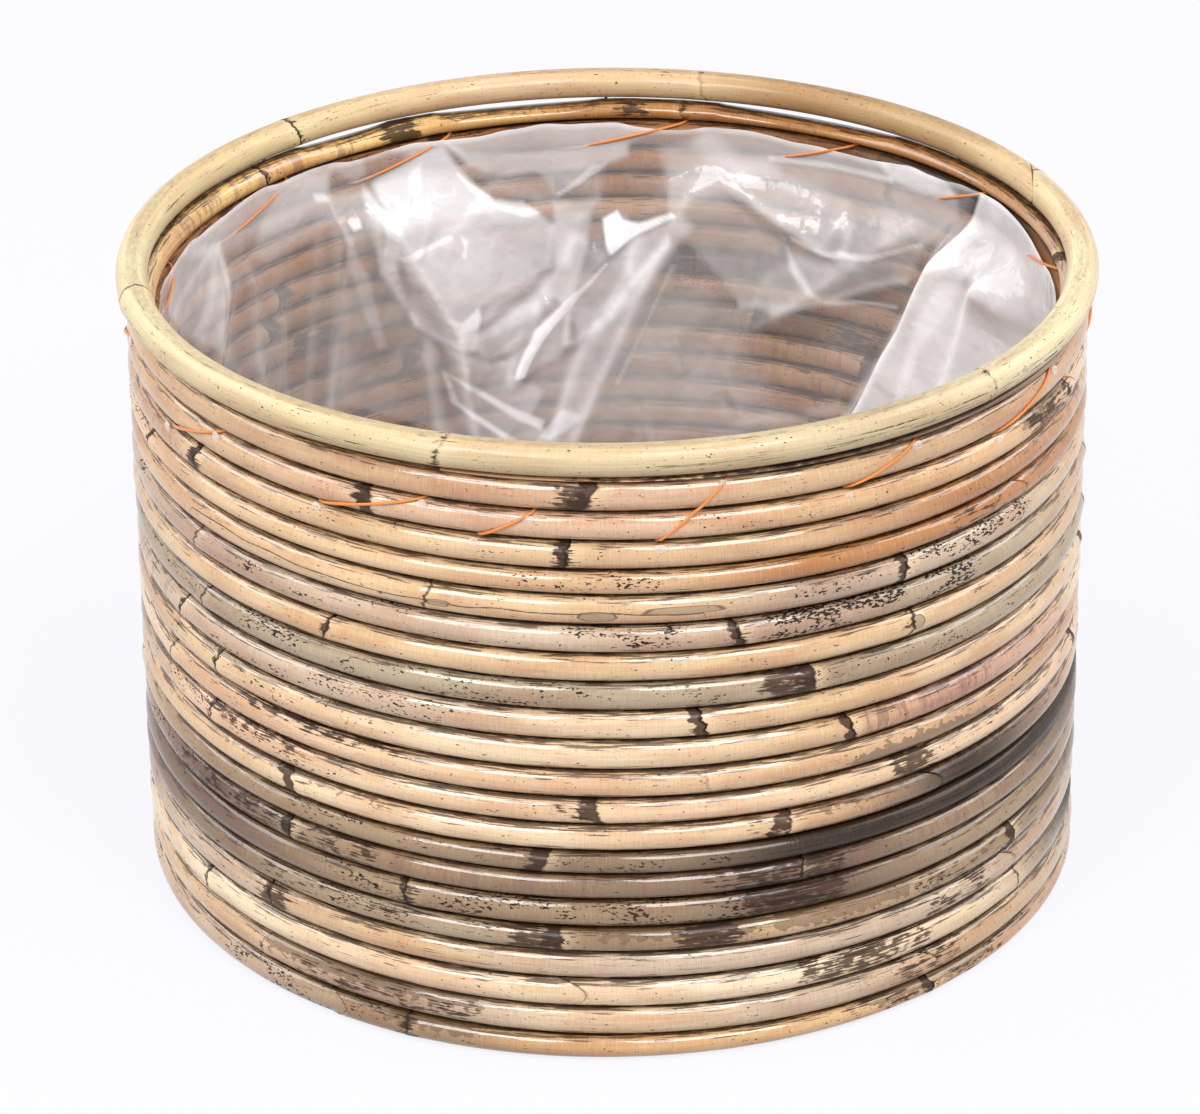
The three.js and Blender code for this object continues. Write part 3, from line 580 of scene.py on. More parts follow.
WALL_FORM = {
    "radius": WALL_RADIUS, "width": CANE_WIDTH, "top": coil_top, "bottom": coil_underside, "loose": 1.0,
    "knuckles": KNUCKLES, "tone": skin_tone, "marks": skin_marks, "scars": skin_scars, "cracks": skin_cracks,
    "torn": skin_torn, "residue": skin_residue, "inside_shade_and_bare": 1.0,
}


# The rim's own nodes, marks and tones, in degrees right of the front's middle. A streak also has two heights
# of the cane that it lies between, from -1 to 1

RIM_KNUCKLES = [(-18.7, "worn"), (-77, "line"), (-135, "ring"), (167, "faint"), (112, "line"), (48, "faint")]
RIM_STREAKS = [
    (3, 22, -0.5, 0.5), (-30, -20, -0.4, 0.6), (-75, -25, -0.8, 0.3), (22, 70, -0.7, 0.4),
    (95, 160, 0.4, 0.6), (-160, -100, 0.2, 0.7), (-18, 12, -1.0, -0.55), (60, 85, -0.9, 0.2),
]
# From the scarf on, once round. Partly the rim's own tones and partly painted light set against how the lamps
# fall on it, with painted shade at 135 and 152 degrees, the right of the back
RIM_TONES = [
    (113, "f0d5a6"), (135, "c8a777"), (152, "c29f72"), (172, "e6c79c"), (-165, "f0d1a9"), (-130, "f2dca9"),
    (-85, "efe0b4"), (-40, "e2cfa4"), (0, "ddc8a1"), (30, "dac8a3"), (75, "fff0c5"), (108, "f4dcae"),
]


# The rim is counted like the coil, once round from its scarf at the right of the back
RIM_START = (RIM_SCARF_ANGLE - COIL_START_ANGLE) / 360


def rim_turn(degrees):
    """The place on the rim that is so many degrees right of the front's middle"""
    turn = turn_at(0, degrees)
    return turn + math.ceil(RIM_START - turn)


def rim_tone(turn):
    """Palest at the front and the sides, and browner behind: partly painted light, with painted shade at the
    right of the back
    """
    places = [rim_turn(degrees) for degrees, _ in RIM_TONES]
    colours = np.array([linear(code)[:3] for _, code in RIM_TONES])
    channels = [RIM_LACQUER_DEPTH * eased(turn, places, channel) for channel in colours.T]
    return np.stack([*channels, np.ones_like(channels[0])], axis=-1)


def rim_marks(turn, up):
    """A few black streaks, and thin speckles all over"""
    bark, speck, streak, band = np.zeros((4, *turn.shape))
    for start, end, low, high in RIM_STREAKS:
        along = np.minimum(turn - rim_turn(start), rim_turn(end) - turn) * TURN_LENGTH / 10
        inside = np.minimum(up - low, high - up) * 5
        streak = np.maximum(streak, 1.25 * smooth(along) * smooth(inside))
    return np.stack([bark, speck + 0.25, streak, band], axis=-1)


RIM_FORM = {
    "radius": RIM_RADIUS, "width": RIM_THICKNESS, "loose": 0.25,
    "top": lambda turn: np.full(np.shape(turn), OVERALL_HEIGHT),
    "bottom": lambda turn: np.full(np.shape(turn), OVERALL_HEIGHT - RIM_THICKNESS),
    "knuckles": [(rim_turn(degrees), kind) for degrees, kind in RIM_KNUCKLES],
    "tone": rim_tone, "marks": rim_marks,
    "scars": lambda turn, height: np.full(turn.shape, NO_SCAR),
    "cracks": lambda turn, height: np.full(turn.shape, CRACK_REACH),
    "torn": lambda turn, height: np.full(turn.shape, -TORN_REACH),
    "residue": lambda turn: np.full(turn.shape, -1.5),
    "inside_shade_and_bare": 0.0,
}


# Materials

def put(tree, kind, inputs=None, out=0, **settings):
    """Adds a node with its settings and links, and gives back an output. An input takes a value or another
    node's output"""
    made = tree.nodes.new("ShaderNode" + kind)
    for name, value in settings.items():
        setattr(made, name, value)
    for socket, value in (inputs or {}).items():
        if isinstance(value, bpy.types.NodeSocket):
            tree.links.new(value, made.inputs[socket])
        else:
            made.inputs[socket].default_value = value
    return made.outputs[out] if len(made.outputs) else None


def new_material(name):
    material = bpy.data.materials.new(name)
    material.use_nodes = True
    material.node_tree.nodes.clear()
    return material, material.node_tree


TIMES = {"operation": "MULTIPLY"}
PLUS = {"operation": "ADD"}
MINUS = {"operation": "SUBTRACT"}
EASED = {"interpolation_type": "SMOOTHSTEP"}
COLOURS = {"out": 2, "data_type": "RGBA"}
CHANNELS = ("Red", "Green", "Blue")

# Grain of the cane's skin: the size of its spots in millimetres along, out from and up the cane, and their
# detail. The cross lines, the fibres and the streaks are drawn about twice as coarse as they are, to show
SKIN_GRAIN = {
    "fibre": (28, 0.9, 0.9, 3), "cross_lines": (0.62, 7, 7, 2), "cloud": (45, 9, 9, 3),
    "rag": (4.5, 2.2, 2.2, 4), "bands": (2.6, 12, 12, 2), "cluster": (22, 7, 7, 2),
    "fleck": (1.9, 0.8, 0.8, 2), "streak": (34, 0.55, 0.55, 3), "sheath": (15, 0.75, 0.75, 4),
    "crooked": (7, 2.6, 2.6, 2),
}


def lacquered_cane_skin(name, mottle, lines, speck, groove_shade_strength, coat, coat_roughness):
    """Rattan cane with its skin left on, rubbed down and dipped in clear lacquer. The lacquer gives sharp
    white lights over a fibrous skin, the skin fine lines across the cane, black specks, hairline splits, rags
    of brown sheath and a dark ring at each node"""
    material, tree = new_material(name)
    straight = put(tree, "Attribute", out="Vector", attribute_name="straight")
    node_gap, scar, crack, torn, edge, bare = (
        put(tree, "Attribute", out="Fac", attribute_name=name)
        for name in ("node_gap", "scar", "crack", "torn", "edge", "bare"))
    tone, marks, node_look = (
        put(tree, "Attribute", out="Color", attribute_name=name) for name in ("tone", "marks", "node_look"))
    band_mark, sheath_left = (
        put(tree, "Attribute", out="Alpha", attribute_name=name) for name in ("marks", "node_look"))
    bark_mark, speck_mark, streak_mark = (put(tree, "SeparateColor", {0: marks}, part) for part in CHANNELS)
    node_ring, node_stain, node_pale = (put(tree, "SeparateColor", {0: node_look}, part) for part in CHANNELS)
    grain = {}
    for word, (*sizes, detail) in SKIN_GRAIN.items():
        place = put(tree, "VectorMath", {0: straight, 1: [1000 / size for size in sizes]}, **TIMES)
        grain[word] = put(tree, "TexNoise", {"Vector": place, "Scale": 1.0, "Detail": detail})
    fibre, rag = grain["fibre"], grain["rag"]

    # Skin: slow mottling, fibres along the cane and fine lines across it
    warm = put(tree, "Mix", {0: 1.0, 6: tone, 7: linear("c98f5e")}, blend_type="MULTIPLY", **COLOURS)
    warmth = put(tree, "MapRange", {0: grain["cloud"], 1: 0.35, 2: 0.7, 3: 0.0, 4: mottle}, **EASED)
    fibres = put(tree, "MapRange", {0: fibre, 1: 0.3, 2: 0.75, 3: 0.0, 4: 0.2}, **EASED)
    pale_lines = put(tree, "MapRange", {0: grain["cross_lines"], 1: 0.5, 2: 0.72, 3: 0.0, 4: lines}, **EASED)
    # Pale lines show only on pale skin
    brightness = put(tree, "SeparateColor", {0: tone}, "Red")
    brightness = put(tree, "Math", {0: brightness, 1: 2.2}, use_clamp=True, **TIMES)
    pale_lines = put(tree, "Math", {0: pale_lines, 1: brightness}, **TIMES)
    dark = lines * 1.2
    dark_lines = put(tree, "MapRange", {0: grain["cross_lines"], 1: 0.5, 2: 0.3, 3: 0.0, 4: dark}, **EASED)
    banded = put(tree, "Math", {0: band_mark, 1: 0.55}, **TIMES)
    banded = put(tree, "MapRange", {0: grain["bands"], 1: 0.46, 2: 0.62, 3: 0.0, 4: banded}, **EASED)

    # Painted shade along the cane's top and bottom edges, darkest toward the grooves, and rags of sheath left
    # along them
    groove_shade = put(tree, "MapRange", {0: rag, 1: 0.3, 2: 0.62, 3: groove_shade_strength * 0.5, 4: groove_shade_strength}, **EASED)
    groove_shade = put(tree, "MapRange", {0: edge, 1: 0.86, 2: 0.98, 3: 0.0, 4: groove_shade}, **EASED)
    sheath = put(tree, "MapRange", {0: edge, 1: 0.25, 2: 0.92, 3: -0.14, 4: 0.1}, **EASED)
    sheath = put(tree, "Math", {0: sheath, 1: grain["sheath"]}, **PLUS)
    sheath_left = put(tree, "Math", {0: sheath_left, 1: 0.09}, **TIMES)
    sheath = put(tree, "Math", {0: sheath, 1: sheath_left}, **PLUS)
    sheath = put(tree, "MapRange", {0: sheath, 1: 0.615, 2: 0.66, 3: 0.0, 4: 0.8}, **EASED)

    # Specks in clusters
    speck_amount = put(tree, "Math", {0: speck_mark, 1: speck}, **PLUS)
    speck_amount = put(tree, "Math", {0: speck_amount, 1: 0.12}, **TIMES)
    cluster = put(tree, "MapRange", {0: grain["cluster"], 1: 0.42, 2: 0.62, 3: 0.0, 4: speck_amount}, **EASED)
    fleck = put(tree, "Math", {0: grain["fleck"], 1: cluster}, **PLUS)
    fleck = put(tree, "MapRange", {0: fleck, 1: 0.7, 2: 0.735, 3: 0.0, 4: 0.97}, **EASED)

    # Black streaks along the cane, and the long crack, whose ragged edges lie about 0.25 mm from its line
    streak = put(tree, "Math", {0: streak_mark, 1: 0.16}, **TIMES)
    streak = put(tree, "Math", {0: grain["streak"], 1: streak}, **PLUS)
    broken = put(tree, "MapRange", {0: rag, 1: 0.35, 2: 0.55, 3: 0.0, 4: 0.9}, **EASED)
    streak = put(tree, "MapRange", {0: streak, 1: 0.79, 2: 0.825, 3: 0.0, 4: broken}, **EASED)
    ragged = put(tree, "MapRange", {0: rag, 1: 0.0, 2: 1.0, 3: -0.25, 4: 0.25})
    off_crack = put(tree, "Math", {0: crack}, operation="ABSOLUTE")
    ragged = put(tree, "Math", {0: off_crack, 1: ragged}, **PLUS)
    split = put(tree, "MapRange", {0: ragged, 1: 0.36, 2: 0.12, 3: 0.0, 4: 0.9}, **EASED)

    # Patches of old bark, and sheath torn off along a toothed edge
    bark = put(tree, "Mix", {0: 0.55, 2: rag, 3: grain["sheath"]}, data_type="FLOAT")
    bark = put(tree, "MapRange", {0: bark, 1: 0.0, 2: 1.0, 3: -1.8, 4: 1.5})
    bark = put(tree, "Math", {0: bark, 1: bark_mark}, **PLUS)
    bark = put(tree, "MapRange", {0: bark, 1: 0.42, 2: 0.62, 3: 0.0, 4: 0.9}, **EASED)
    bark_shade = put(tree, "MapRange", {0: fibre, 1: 0.35, 2: 0.65}, **EASED)
    bark_shade = put(tree, "Mix", {0: bark_shade, 6: linear("1f1511"), 7: linear("4b3427")}, **COLOURS)
    # A tooth every 7 mm, each a little off its place
    teeth = put(tree, "SeparateXYZ", {0: straight}, "X")
    wobble = put(tree, "Math", {0: grain["crooked"], 1: 4.0}, **TIMES)
    teeth = put(tree, "Math", {0: teeth, 1: 1000 / 3.5, 2: wobble}, operation="MULTIPLY_ADD")
    teeth = put(tree, "Math", {0: teeth, 1: 1.0}, operation="PINGPONG")
    tall = put(tree, "MapRange", {0: rag, 1: 0.35, 2: 0.65, 3: 0.4, 4: 4.6})
    teeth = put(tree, "Math", {0: teeth, 1: tall, 2: torn}, operation="MULTIPLY_ADD")
    torn_off = put(tree, "MapRange", {0: teeth, 1: 1.6, 2: 1.85, 3: 0.0, 4: 0.65}, **EASED)

    # Oval scars with a dark edge
    in_scar = put(tree, "MapRange", {0: scar, 1: -0.02, 2: 0.1, 3: 0.0, 4: 0.7}, **EASED)
    scar_edge = put(tree, "MapRange", {0: scar, 1: 0.22, 2: 0.02, 3: 0.0, 4: 0.8}, **EASED)
    scar_edge = put(tree, "MapRange", {0: scar, 1: -0.25, 2: -0.02, 3: 0.0, 4: scar_edge}, **EASED)

    # Nodes: a crooked dark ring, a brown stain on one side and a pale band on the other
    gap = put(tree, "MapRange", {0: grain["crooked"], 1: 0.0, 2: 1.0, 3: -2.5, 4: 2.5})
    gap = put(tree, "Math", {0: gap, 1: node_gap}, **PLUS)
    stain = put(tree, "MapRange", {0: rag, 1: 0.0, 2: 1.0, 3: -0.95, 4: 0.95})
    stain = put(tree, "Math", {0: stain, 1: node_stain}, **PLUS)
    stained = put(tree, "MapRange", {0: stain, 1: 0.3, 2: 0.56, 3: 0.0, 4: 0.92}, **EASED)
    stained = put(tree, "MapRange", {0: gap, 1: 0.6, 2: -0.2, 3: 0.0, 4: stained}, **EASED)
    pale = put(tree, "MapRange", {0: gap, 1: 0.2, 2: 1.2, 3: 0.0, 4: node_pale}, **EASED)
    ring = put(tree, "MapRange", {0: gap, 1: 0.95, 2: 0.3, 3: 0.0, 4: node_ring}, **EASED)
    ring = put(tree, "MapRange", {0: gap, 1: -1.05, 2: -0.3, 3: 0.0, 4: ring}, **EASED)

    colour = put(tree, "Mix", {0: warmth, 6: tone, 7: warm}, **COLOURS)
    # Marks laid over the skin in turn, the dark edges toward the grooves among them being painted shade
    for share, shade in (
            (fibres, "80603f"), (pale_lines, "fae9cd"), (dark_lines, "8a6242"), (banded, "7a5348"),
            (pale, "e6c79c"), (sheath, "3a2312"), (groove_shade, "1b100a"), (fleck, "1a1310"), (streak, "1d1512"),
            (split, "1d1512"), (torn_off, "61492f"), (bark, bark_shade), (in_scar, "8b755a"),
            (scar_edge, "453022"), (stained, "35231a"), (ring, "20140f")):
        shade = linear(shade) if isinstance(shade, str) else shade
        colour = put(tree, "Mix", {0: share, 6: colour, 7: shade}, **COLOURS)

    # The skin's relief under the lacquer
    relief = put(tree, "Math", {0: grain["cross_lines"], 1: fibre}, **PLUS)
    for dent, depth in (
            (ring, 2.4), (streak, 0.8), (split, 1.2), (torn_off, -0.7), (bark, -0.8), (sheath, -0.6)):
        dent = put(tree, "Math", {0: dent, 1: depth}, **TIMES)
        relief = put(tree, "Math", {0: relief, 1: dent}, **MINUS)
    skin_bump = put(tree, "Bump", {"Height": relief, "Strength": 0.5, "Distance": 0.00016})
    lacquer_bump = put(tree, "Bump", {"Height": relief, "Strength": 0.25, "Distance": 0.00007})
    rough = put(tree, "MapRange", {0: rag, 1: 0.3, 2: 1.0, 3: 0.42, 4: 0.72})
    # The lacquer has sunk into scorched nodes, bark and specks, and hardly covers the inside
    scorched = put(tree, "MapRange", {0: brightness, 1: 0.05, 2: 0.4, 3: 0.75, 4: 0.0})
    for dull in (stained, bark, ring, fleck, scorched):
        bare = put(tree, "Math", {0: bare, 1: dull}, operation="MAXIMUM")
    gloss = put(tree, "MapRange", {0: bare, 1: 0.0, 2: 1.0, 3: coat, 4: 0.15 * coat})
    surface = put(tree, "BsdfPrincipled", {
        "Base Color": colour, "Roughness": rough, "Normal": skin_bump, "IOR": 1.5,
        "Specular IOR Level": 0.1, "Coat Weight": gloss, "Coat Roughness": coat_roughness, "Coat IOR": 1.6,
        "Coat Normal": lacquer_bump})
    put(tree, "OutputMaterial", {"Surface": surface})
    return material


def split_cane():
    """Rattan split lengthwise, with its skin up and its pith down. Long pores give it a dull, combed look"""
    material, tree = new_material("split_cane")
    place = put(tree, "TexCoord", out="Object")
    # Pores about 0.6 mm wide and 60 mm long, running along Y like the slats
    along = put(tree, "VectorMath", {0: place, 1: (1600, 16, 1600)}, **TIMES)
    pores = put(tree, "TexNoise", {"Vector": along, "Scale": 1.0, "Detail": 3.0})
    blotch = put(tree, "TexNoise", {"Vector": place, "Scale": 38.0, "Detail": 3.0})
    pale = put(tree, "Mix", {0: blotch, 6: linear("c29a68"), 7: linear("a57b4c")}, **COLOURS)
    dark = put(tree, "MapRange", {0: pores, 1: 0.5, 2: 0.72, 3: 0.0, 4: 0.6})
    colour = put(tree, "Mix", {0: dark, 6: pale, 7: linear("6b4a2e")}, **COLOURS)
    bump = put(tree, "Bump", {"Height": pores, "Strength": 0.5, "Distance": 0.0003})
    surface = put(tree, "BsdfPrincipled", {"Base Color": colour, "Roughness": 0.55, "Normal": bump})
    put(tree, "OutputMaterial", {"Surface": surface})
    return material


def drawn_steel():
    """Steel wire, drawn bright, cut into brads and gone dull. A fine grey grain breaks up its shine"""
    material, tree = new_material("drawn_steel")
    place = put(tree, "TexCoord", out="Object")
    grain = put(tree, "TexNoise", {"Vector": place, "Scale": 2400.0, "Detail": 3.0})
    rough = put(tree, "MapRange", {0: grain, 1: 0.3, 2: 0.7, 3: 0.32, 4: 0.55})
    colour = put(tree, "Mix", {0: grain, 6: linear("8d8a85"), 7: linear("5f5a55")}, **COLOURS)
    surface = put(tree, "BsdfPrincipled", {"Base Color": colour, "Metallic": 1.0, "Roughness": rough})
    put(tree, "OutputMaterial", {"Surface": surface})
    return material


def waxed_thread():
    """Orange polyester thread, twisted and waxed. The twist shows as slanted ridges and the wax as a soft
    shine"""
    material, tree = new_material("waxed_thread")
    run = put(tree, "Attribute", out="Vector", attribute_name="twist")
    # About three strands, which turn once in 3 mm
    twist = put(tree, "TexWave", {"Vector": run, "Scale": 1.0, "Distortion": 0.0}, "Fac", bands_direction="X")
    place = put(tree, "TexCoord", out="Object")
    fuzz = put(tree, "TexNoise", {"Vector": place, "Scale": 900.0, "Detail": 2.0})
    # The colour follows the twist, darker in the hollows between the strands and paler on their crowns:
    # painted shade and painted highlight
    colour = put(tree, "Mix", {0: twist, 6: linear("bd5a14"), 7: linear("ec973d")}, **COLOURS)
    colour = put(tree, "Mix", {0: fuzz, 6: colour, 7: linear("dc7d2b")}, **COLOURS)
    bump = put(tree, "Bump", {"Height": twist, "Strength": 0.6, "Distance": 0.00012})
    surface = put(tree, "BsdfPrincipled", {
        "Base Color": colour, "Roughness": 0.38, "Normal": bump, "Sheen Weight": 0.2})
    put(tree, "OutputMaterial", {"Surface": surface})
    return material


def hot_glue():
    """Clear hot-melt glue in small set drops. It lets the cane show through and is cloudy at its rim"""
    material, tree = new_material("hot_glue")
    place = put(tree, "TexCoord", out="Object")
    cloud = put(tree, "TexNoise", {"Vector": place, "Scale": 500.0, "Detail": 2.0})
    rim = put(tree, "LayerWeight", {"Blend": 0.35}, "Facing")
    share = put(tree, "Math", {0: rim, 1: cloud}, **PLUS)
    share = put(tree, "MapRange", {0: share, 1: 0.35, 2: 1.3, 3: 0.18, 4: 0.6})
    glue = put(tree, "BsdfPrincipled", {
        "Base Color": linear("f3e9df"), "Roughness": 0.2, "Coat Weight": 0.5, "Coat Roughness": 0.1})
    clear = put(tree, "BsdfTransparent")
    mixed = put(tree, "MixShader", {0: share, 1: clear, 2: glue})
    put(tree, "OutputMaterial", {"Surface": mixed})
    return material


def blown_film():
    """Clear polythene film, blown thin and crumpled. It is see-through where it lies flat, throws white
    lights off every facet, and is milky along its creases, where it lies double and where it turns edge on.
    White glints are also painted on it as painted highlights, at listed places and along its creases"""
    material, tree = new_material("blown_film")
    place = put(tree, "TexCoord", out="Object")
    crease, layers_and_glints, inside_crisp, crisp = (
        put(tree, "Attribute", out="Fac", attribute_name=name)
        for name in ("crease", "layers_and_glints", "inside_crisp", "crisp"))
    # A crisp place has an edge about 3 mm wide
    crisp = put(tree, "MapRange", {0: inside_crisp, 1: -1.5, 2: 1.2, 3: 0.0, 4: crisp}, **EASED)
    # Wrinkles about 8 mm apart, on slower ones about 40 mm apart
    fine = put(tree, "TexNoise", {"Vector": place, "Scale": 120.0, "Detail": 3.0})
    slow = put(tree, "TexNoise", {"Vector": place, "Scale": 26.0, "Detail": 4.0, "Roughness": 0.6})
    cloud = put(tree, "MapRange", {0: slow, 1: 0.35, 2: 0.72, 3: 0.0, 4: 0.12})
    facing = put(tree, "LayerWeight", {"Blend": 0.3}, "Facing")
    milky = put(tree, "MapRange", {0: facing, 1: 0.25, 2: 1.0, 3: 0.12, 4: 0.5})
    # Painted highlights come in here too, with the creases, the crisp places and the listed places
    for more in (cloud, crease, crisp):
        milky = put(tree, "Math", {0: milky, 1: more}, **PLUS)
    milky = put(tree, "Math", {0: milky, 1: layers_and_glints}, use_clamp=True, **PLUS)
    height = put(tree, "Math", {0: fine, 1: slow}, **PLUS)
    bump = put(tree, "Bump", {"Height": height, "Strength": 0.4, "Distance": 0.002})
    film = put(tree, "BsdfPrincipled", {
        "Base Color": linear("f6f4f7"), "Roughness": 0.12, "IOR": 1.5, "Normal": bump,
        "Specular IOR Level": 1.0})
    clear = put(tree, "BsdfTransparent")
    mixed = put(tree, "MixShader", {0: milky, 1: clear, 2: film})
    put(tree, "OutputMaterial", {"Surface": mixed})
    return material


# Building the canes

deselect_all()
cane_skin = lacquered_cane_skin(
    "lacquered_cane_skin", mottle=0.45, lines=0.1, speck=0.25, groove_shade_strength=0.85, coat=1.0, coat_roughness=0.045)
rim_skin = lacquered_cane_skin(
    "lacquered_rim_skin", mottle=0.3, lines=0.05, speck=0.1, groove_shade_strength=0.3, coat=0.4, coat_roughness=0.2)

half_gap = SCARF_GAP / 2 / TURN_LENGTH
ends = [0.0, *SPLICES, COIL_TURNS]
for pole in range(len(ends) - 1):
    cut_start, cut_end = pole > 0, pole < len(ends) - 2
    start, end = ends[pole] + half_gap * cut_start, ends[pole + 1] - half_gap * cut_end
    cane = bent_cane(f"pole_{pole + 1}", start, end, cut_start, cut_end, WALL_FORM, pole)
    finish_piece(cane, cane_skin, f"coil_cane_{pole + 1}", slot="lacquered_cane")

start = RIM_START + half_gap
rim = bent_cane("rim_hoop", start, RIM_START + 1 - half_gap, True, True, RIM_FORM, len(ends))
finish_piece(rim, rim_skin, "rim_cane", slot="pale_rim_cane")


# The stitching

OUTER_STITCH_STEPS, INNER_STITCH_STEPS = 18, 22
CLEAR_OF_CANE, CLEAR_OF_FILM = 0.1, 1.6
THREAD_LAY = 3.0  # millimetres along the thread in which its strands turn once


def groove_height(degrees, row):
    """The middle of the groove under a turn of the coil, at an angle counted from +X"""
    return float(coil_underside((degrees - COIL_START_ANGLE) / 360 % 1 + row)) - TURN_GAP / 2


def crown_reach(angle, z, side):
    """How far from the axis the wall's surface is at an angle and height, outside where side is 1. The
    stitches cross the first four turns at most"""
    start = (math.degrees(angle) - COIL_START_ANGLE) / 360 % 1
    best = 0.0
    for turn in (start, start + 1, start + 2, start + 3):
        low, high = float(coil_underside(turn)), float(coil_top(turn))
        lift = (z - (low + high) / 2) / ((high - low) / 2 + 0.4)
        if abs(lift) < 1:
            best = max(best, math.sqrt(1 - lift * lift))
    return WALL_RADIUS + side * CANE_WIDTH / 2 * best


def thread_stretch(start, end, side):
    """The thread's middle line from one groove to another, each given as degrees and a turn. It starts and
    ends 2 mm off the wall's middle and is drawn tight over the canes, outside where side is 1, inside where
    it is -1"""
    steps = OUTER_STITCH_STEPS if side > 0 else INNER_STITCH_STEPS
    groove = WALL_RADIUS + side * 2
    clear = side * (THREAD_RADIUS + (CLEAR_OF_CANE if side > 0 else CLEAR_OF_FILM))
    (first, low), (last, high) = ((math.radians(place[0]), groove_height(*place)) for place in (start, end))
    shares = [step / steps for step in range(steps + 1)]
    line = [(first + (last - first) * share, low + (high - low) * share) for share in shares]
    reach = [crown_reach(angle, z, side) for angle, z in line]
    points = []
    for step, (share, (angle, z)) in enumerate(zip(shares, line)):
        near = reach[max(0, step - 2):step + 3]
        tight = (max(near) if side > 0 else min(near)) + clear
        into = math.sin(min(share, 1 - share) * math.pi) ** 0.3 if 0 < share < 1 else 0
        radius = groove + (tight - groove) * into
        points.append((radius * math.cos(angle), radius * math.sin(angle), z))
    return points


def thread_route():
    """The thread's middle line, once round: over the canes outside, in through a groove, along the film
    inside, and out again"""
    points = []
    following = [*STITCHES[1:], (STITCHES[0][0] + 360, *STITCHES[0][1:])]
    for (out, out_row, back, back_row), (after, after_row, *_) in zip(STITCHES, following):
        points += thread_stretch((out, out_row), (back, back_row), 1)
        points += thread_stretch((back, back_row), (after, after_row), -1)
    return np.array(points)


def make_thread():
    """A circle swept along the route as the bevel of a closed curve, then made a mesh"""
    route = thread_route()
    apart = np.linalg.norm(np.diff(route, axis=0), axis=1) > 0.4
    route = route[np.concatenate([[True], apart])]
    bpy.ops.curve.primitive_nurbs_path_add()
    thread = bpy.context.object
    thread.name = "thread"
    curve = thread.data
    curve.splines.clear()
    line = curve.splines.new("POLY")
    line.points.add(len(route) - 1)
    line.points.foreach_set("co", np.column_stack([route * MM, np.ones(len(route))]).ravel())
    line.use_cyclic_u = True
    curve.bevel_depth = THREAD_RADIUS * MM
    curve.bevel_resolution = 2
    bpy.ops.object.convert(target="MESH")
    bpy.ops.object.transform_apply(location=True, rotation=True, scale=True)
    # How far along the thread and round it each corner lies, so that the strands slant
    count = len(thread.data.vertices)
    sides = count // len(route)
    ring, side = np.arange(count) // sides, np.arange(count) % sides
    run = np.concatenate([[0], np.cumsum(np.linalg.norm(np.diff(route, axis=0), axis=1))])
    twist = run[np.minimum(ring, len(run) - 1)] / THREAD_LAY + side / sides
    add_field(thread, "twist", "FLOAT_VECTOR", np.column_stack([twist, side * 0.0, side * 0.0]))
    bpy.ops.object.shade_smooth_by_angle(angle=math.radians(60))
    return thread


thread = make_thread()
finish_piece(thread, waxed_thread(), "stitch_thread", slot="orange_thread")


DROP_RADIUS = 2.4


def model_drop():
    """One set drop of glue: a ball pressed flat against the cane, with a dimple where the nozzle left it and
    a short tail. It faces +X"""
    bpy.ops.mesh.primitive_uv_sphere_add(
        segments=20, ring_count=12, radius=DROP_RADIUS * MM, rotation=(0, math.pi / 2, 0))
    drop = bpy.context.object
    bpy.ops.object.transform_apply(location=True, rotation=True, scale=True)
    x, y, z = get_places(drop).T
    off_middle, tail = np.hypot(y, z) / DROP_RADIUS, np.clip(z / DROP_RADIUS, 0, 1)
    x = np.where(x > 0, x * 0.3 - 0.22 * np.exp(-(off_middle / 0.3) ** 2), x * 0.16)
    z = z + 0.5 * np.clip(off_middle, 0, 1) ** 2 * tail ** 3
    y = y * (1 - 0.1 * np.clip(z / DROP_RADIUS, 0, 1))
    set_places(drop, np.column_stack([x, y, z]))
    bpy.ops.object.shade_smooth()
    return drop


def make_glue_drops():
    """A drop of glue beside each place where the thread goes through the wall outside, copied from one"""
    draw = np.random.default_rng(3)
    first = model_drop()
    drops = []
    for out, out_row, back, back_row in STITCHES:
        for degrees, row in ((out, out_row), (back, back_row)):
            degrees += draw.uniform(-0.7, 0.4)
            z = groove_height(degrees, row) - draw.uniform(2.0, 3.6)
            angle = math.radians(degrees)
            reach = crown_reach(angle, z, 1) - 0.1
            size = draw.uniform(0.85, 1.15)
            deselect_all()
            first.select_set(True)
            bpy.context.view_layer.objects.active = first
            bpy.ops.object.duplicate()
            drop = bpy.context.object
            drop.location = (reach * math.cos(angle) * MM, reach * math.sin(angle) * MM, z * MM)
            drop.rotation_euler = (draw.uniform(0, TAU), 0, 0)
            drop.rotation_euler.rotate(Matrix.Rotation(angle, 3, "Z").to_euler())
            drop.scale = (size, size, size)
            bpy.ops.object.transform_apply(location=True, rotation=True, scale=True)
            drops.append(drop)
    deselect_all()
    first.select_set(True)
    bpy.ops.object.delete()
    for drop in drops:
        drop.select_set(True)
    bpy.context.view_layer.objects.active = drops[0]
    bpy.ops.object.join()
    joined = bpy.context.object
    joined.name = "glue_drops"
    return joined


drops = make_glue_drops()
finish_piece(drops, hot_glue(), slot="clear_film")


# The film liner

